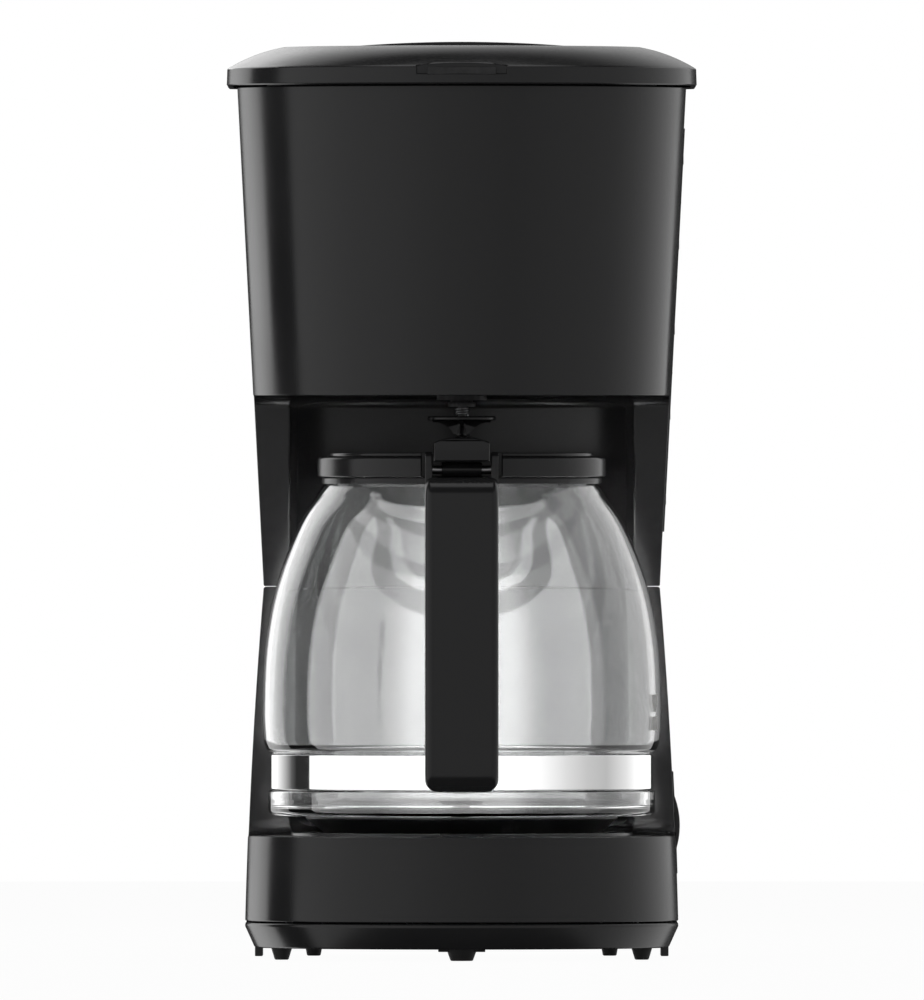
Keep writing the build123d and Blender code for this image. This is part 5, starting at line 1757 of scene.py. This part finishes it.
@dataclass
class Studio:
    """Pale floor, white surround, soft lights and the camera."""

    lens: float = 1400.0
    sensor: float = 36.0
    view_height: float = 380.0 * MM
    aim: tuple[float, float] = (0.1 * MM, 174.4 * MM)
    body_panels: tuple[Panel, ...] = (
        Panel("left_rear_light", ((-158, 0.7), (-138, 1.4), (-124, 1.3))),
        Panel(
            "body_light",
            (
                (-99, 0.64), (-75, 0.62), (-60, 0.55), (-35, 0.48), (-10, 0.36), (0, 0.34), (25, 0.28),
                (50, 0.34), (85, 0.38), (108, 0.55), (121, 0.7), (140, 0.78), (151, 0.85),
            ),
        ),
    )
    glass_panels: tuple[Panel, ...] = (
        Panel("glass_rear_light", ((-158, 1.0), (-138, 1.6), (-124, 0.9)), radius=1.35),
        Panel(
            "glass_light",
            (
                (-99, 3.0), (-66, 2.6), (-53, 2.7), (-40, 4.0), (-28, 5.0), (28, 5.0), (33, 4.3), (43, 2.3),
                (50, 1.9), (88, 1.9), (91, 1.0), (111, 1.1), (150, 1.0),
            ),
            (
                (-2.0, 1.0), (1.0, 1.0), (1.02, 0.65), (1.15, 0.65), (1.17, 1.0), (1.4, 0.95), (1.43, 0.6),
                (1.65, 0.6), (1.68, 1.15), (2.2, 1.0), (2.25, 1.4), (3.6, 1.4),
            ),
            radius=1.35,
        ),
    )
    band_panels: tuple[Panel, ...] = (
        Panel(
            "band_rear_light",
            ((-165, 1.5), (-150, 1.3), (-137, 0.75), (-123, 0.1), (-117, 0.0)),
            radius=1.4,
        ),
        Panel(
            "band_light",
            (
                (-103, 1.6), (-50, 1.6), (38, 1.6), (45, 1.25), (65, 0.85), (80, 0.65), (96, 0.56),
                (116, 0.9), (129, 1.25), (160, 1.35),
            ),
            radius=1.4,
        ),
    )
    lid_panels: tuple[Panel, ...] = (
        Panel(
            "lid_light",
            ((150, 0.4), (175, 0.55), (182, 0.75), (188, 1.2), (205, 2.0)),
            ((0.45, 1.1), (1.0, 1.1), (1.3, 0.6), (1.8, 0.1)),
            radius=1.45,
        ),
    )
    overhead_size: float = 1.2
    overhead_height: float = 1.7
    overhead_radiance: float = 0.8

    def build(self) -> None:
        """Set the stage."""
        self.camera()
        self.surround()
        self.floor()
        self.overhead()

    def light(self, glass: Piece, band: Piece, lid: Piece) -> None:
        """Stand the reflectors, each for the pieces that it suits.

        Args:
            glass: the jug's glass.
            band: the jug's steel band.
            lid: the machine's lid.
        """
        self.stand(self.body_panels, "body_receivers", "EXCLUDE", glass, band)
        self.stand(self.glass_panels, "glass_receivers", "INCLUDE", glass)
        self.stand(self.band_panels, "band_receivers", "INCLUDE", band)
        self.stand(self.lid_panels, "lid_receivers", "INCLUDE", lid)

    @staticmethod
    def stand(panels: Sequence[Panel], name: str, state: str, *pieces: Piece) -> None:
        """Stand some reflectors that light only, or all but, the given pieces.

        Args:
            panels: the reflectors.
            name: name of the collection of receivers.
            state: INCLUDE or EXCLUDE.
            pieces: the pieces.
        """
        receivers = bpy.data.collections.new(name)
        for piece in pieces:
            receivers.objects.link(piece)
        for member in receivers.collection_objects:
            member.light_linking.link_state = state
        for panel in panels:
            panel.stand(receivers)

    def camera(self) -> None:
        """Level long-lens camera straight in front of the machine."""
        lens = bpy.data.cameras.new("camera")
        lens.lens = self.lens
        lens.sensor_width = self.sensor
        lens.clip_end = 100.0
        camera = bpy.data.objects.new("camera", lens)
        bpy.context.scene.collection.objects.link(camera)
        distance = self.view_height * self.lens / self.sensor
        camera.location = (self.aim[0], AXIS_Y - distance, self.aim[1])
        camera.rotation_euler = (RIGHT_ANGLE, 0, 0)
        bpy.context.scene.camera = camera
        bpy.context.scene.view_settings.view_transform = "Standard"

    def surround(self) -> None:
        """White backdrop for the camera, with a faint even light for everything else."""
        world = bpy.data.worlds.new("surround")
        world.use_nodes = True
        tree = world.node_tree
        background = tree.nodes["Background"]
        background.inputs["Color"].default_value = (1, 1, 1, 1)
        path = tree.nodes.new("ShaderNodeLightPath")
        through_glass = tree.nodes.new("ShaderNodeMath")
        through_glass.operation = "MULTIPLY_ADD"
        through_glass.inputs[1].default_value = 0.45
        tree.links.new(path.outputs["Is Transmission Ray"], through_glass.inputs[0])
        tree.links.new(path.outputs["Is Camera Ray"], through_glass.inputs[2])
        level = tree.nodes.new("ShaderNodeMapRange")
        level.inputs["To Min"].default_value = 0.03
        level.inputs["To Max"].default_value = 1.0
        tree.links.new(through_glass.outputs["Value"], level.inputs["Value"])
        tree.links.new(level.outputs["Result"], background.inputs["Strength"])
        bpy.context.scene.world = world

    def floor(self) -> None:
        """Wide pale floor."""
        floor = prism("floor", disc((0, 0), 3.0, 96), Along.Z, -0.01, 0.0)
        material = bpy.data.materials.new("pale_floor")
        material.use_nodes = True
        tree = material.node_tree
        shader = tree.nodes["Principled BSDF"]
        shader.inputs["Base Color"].default_value = (0.85, 0.85, 0.85, 1)
        shader.inputs["Roughness"].default_value = 0.9
        shader.inputs["Specular IOR Level"].default_value = 0.0
        glow = tree.nodes.new("ShaderNodeEmission")
        path = tree.nodes.new("ShaderNodeLightPath")
        share = tree.nodes.new("ShaderNodeMath")
        share.operation = "MULTIPLY"
        share.inputs[1].default_value = 0.97
        tree.links.new(path.outputs["Is Camera Ray"], share.inputs[0])
        mix = tree.nodes.new("ShaderNodeMixShader")
        tree.links.new(share.outputs["Value"], mix.inputs["Fac"])
        tree.links.new(shader.outputs["BSDF"], mix.inputs[1])
        tree.links.new(glow.outputs["Emission"], mix.inputs[2])
        tree.links.new(mix.outputs["Shader"], tree.nodes["Material Output"].inputs["Surface"])
        floor.data.materials.append(material)
        floor.visible_glossy = False
        floor.visible_transmission = False

    def overhead(self) -> None:
        """Broad soft light straight above."""
        lamp = bpy.data.lights.new("overhead_light", "AREA")
        lamp.shape = "SQUARE"
        lamp.size = self.overhead_size
        lamp.energy = self.overhead_radiance * math.pi * self.overhead_size**2
        light = bpy.data.objects.new("overhead_light", lamp)
        bpy.context.scene.collection.objects.link(light)
        light.location = (0, 0.1, self.overhead_height)
        light.visible_camera = False


def main() -> None:
    """Build the machine piece by piece and report each one."""
    logging.basicConfig(level=logging.INFO, format="%(message)s")
    studio = Studio()
    studio.build()
    shop = Workshop()
    Housings(shop).build()
    TopLid(shop).build()
    Jug(shop).build()
    JugLid(shop).build()
    Works(shop).build()
    shop.carry_over()
    studio.light(*(bpy.data.objects[name] for name in ("glass_jug", "steel_band", "lid_shell")))


if __name__ == "__main__":
    main()
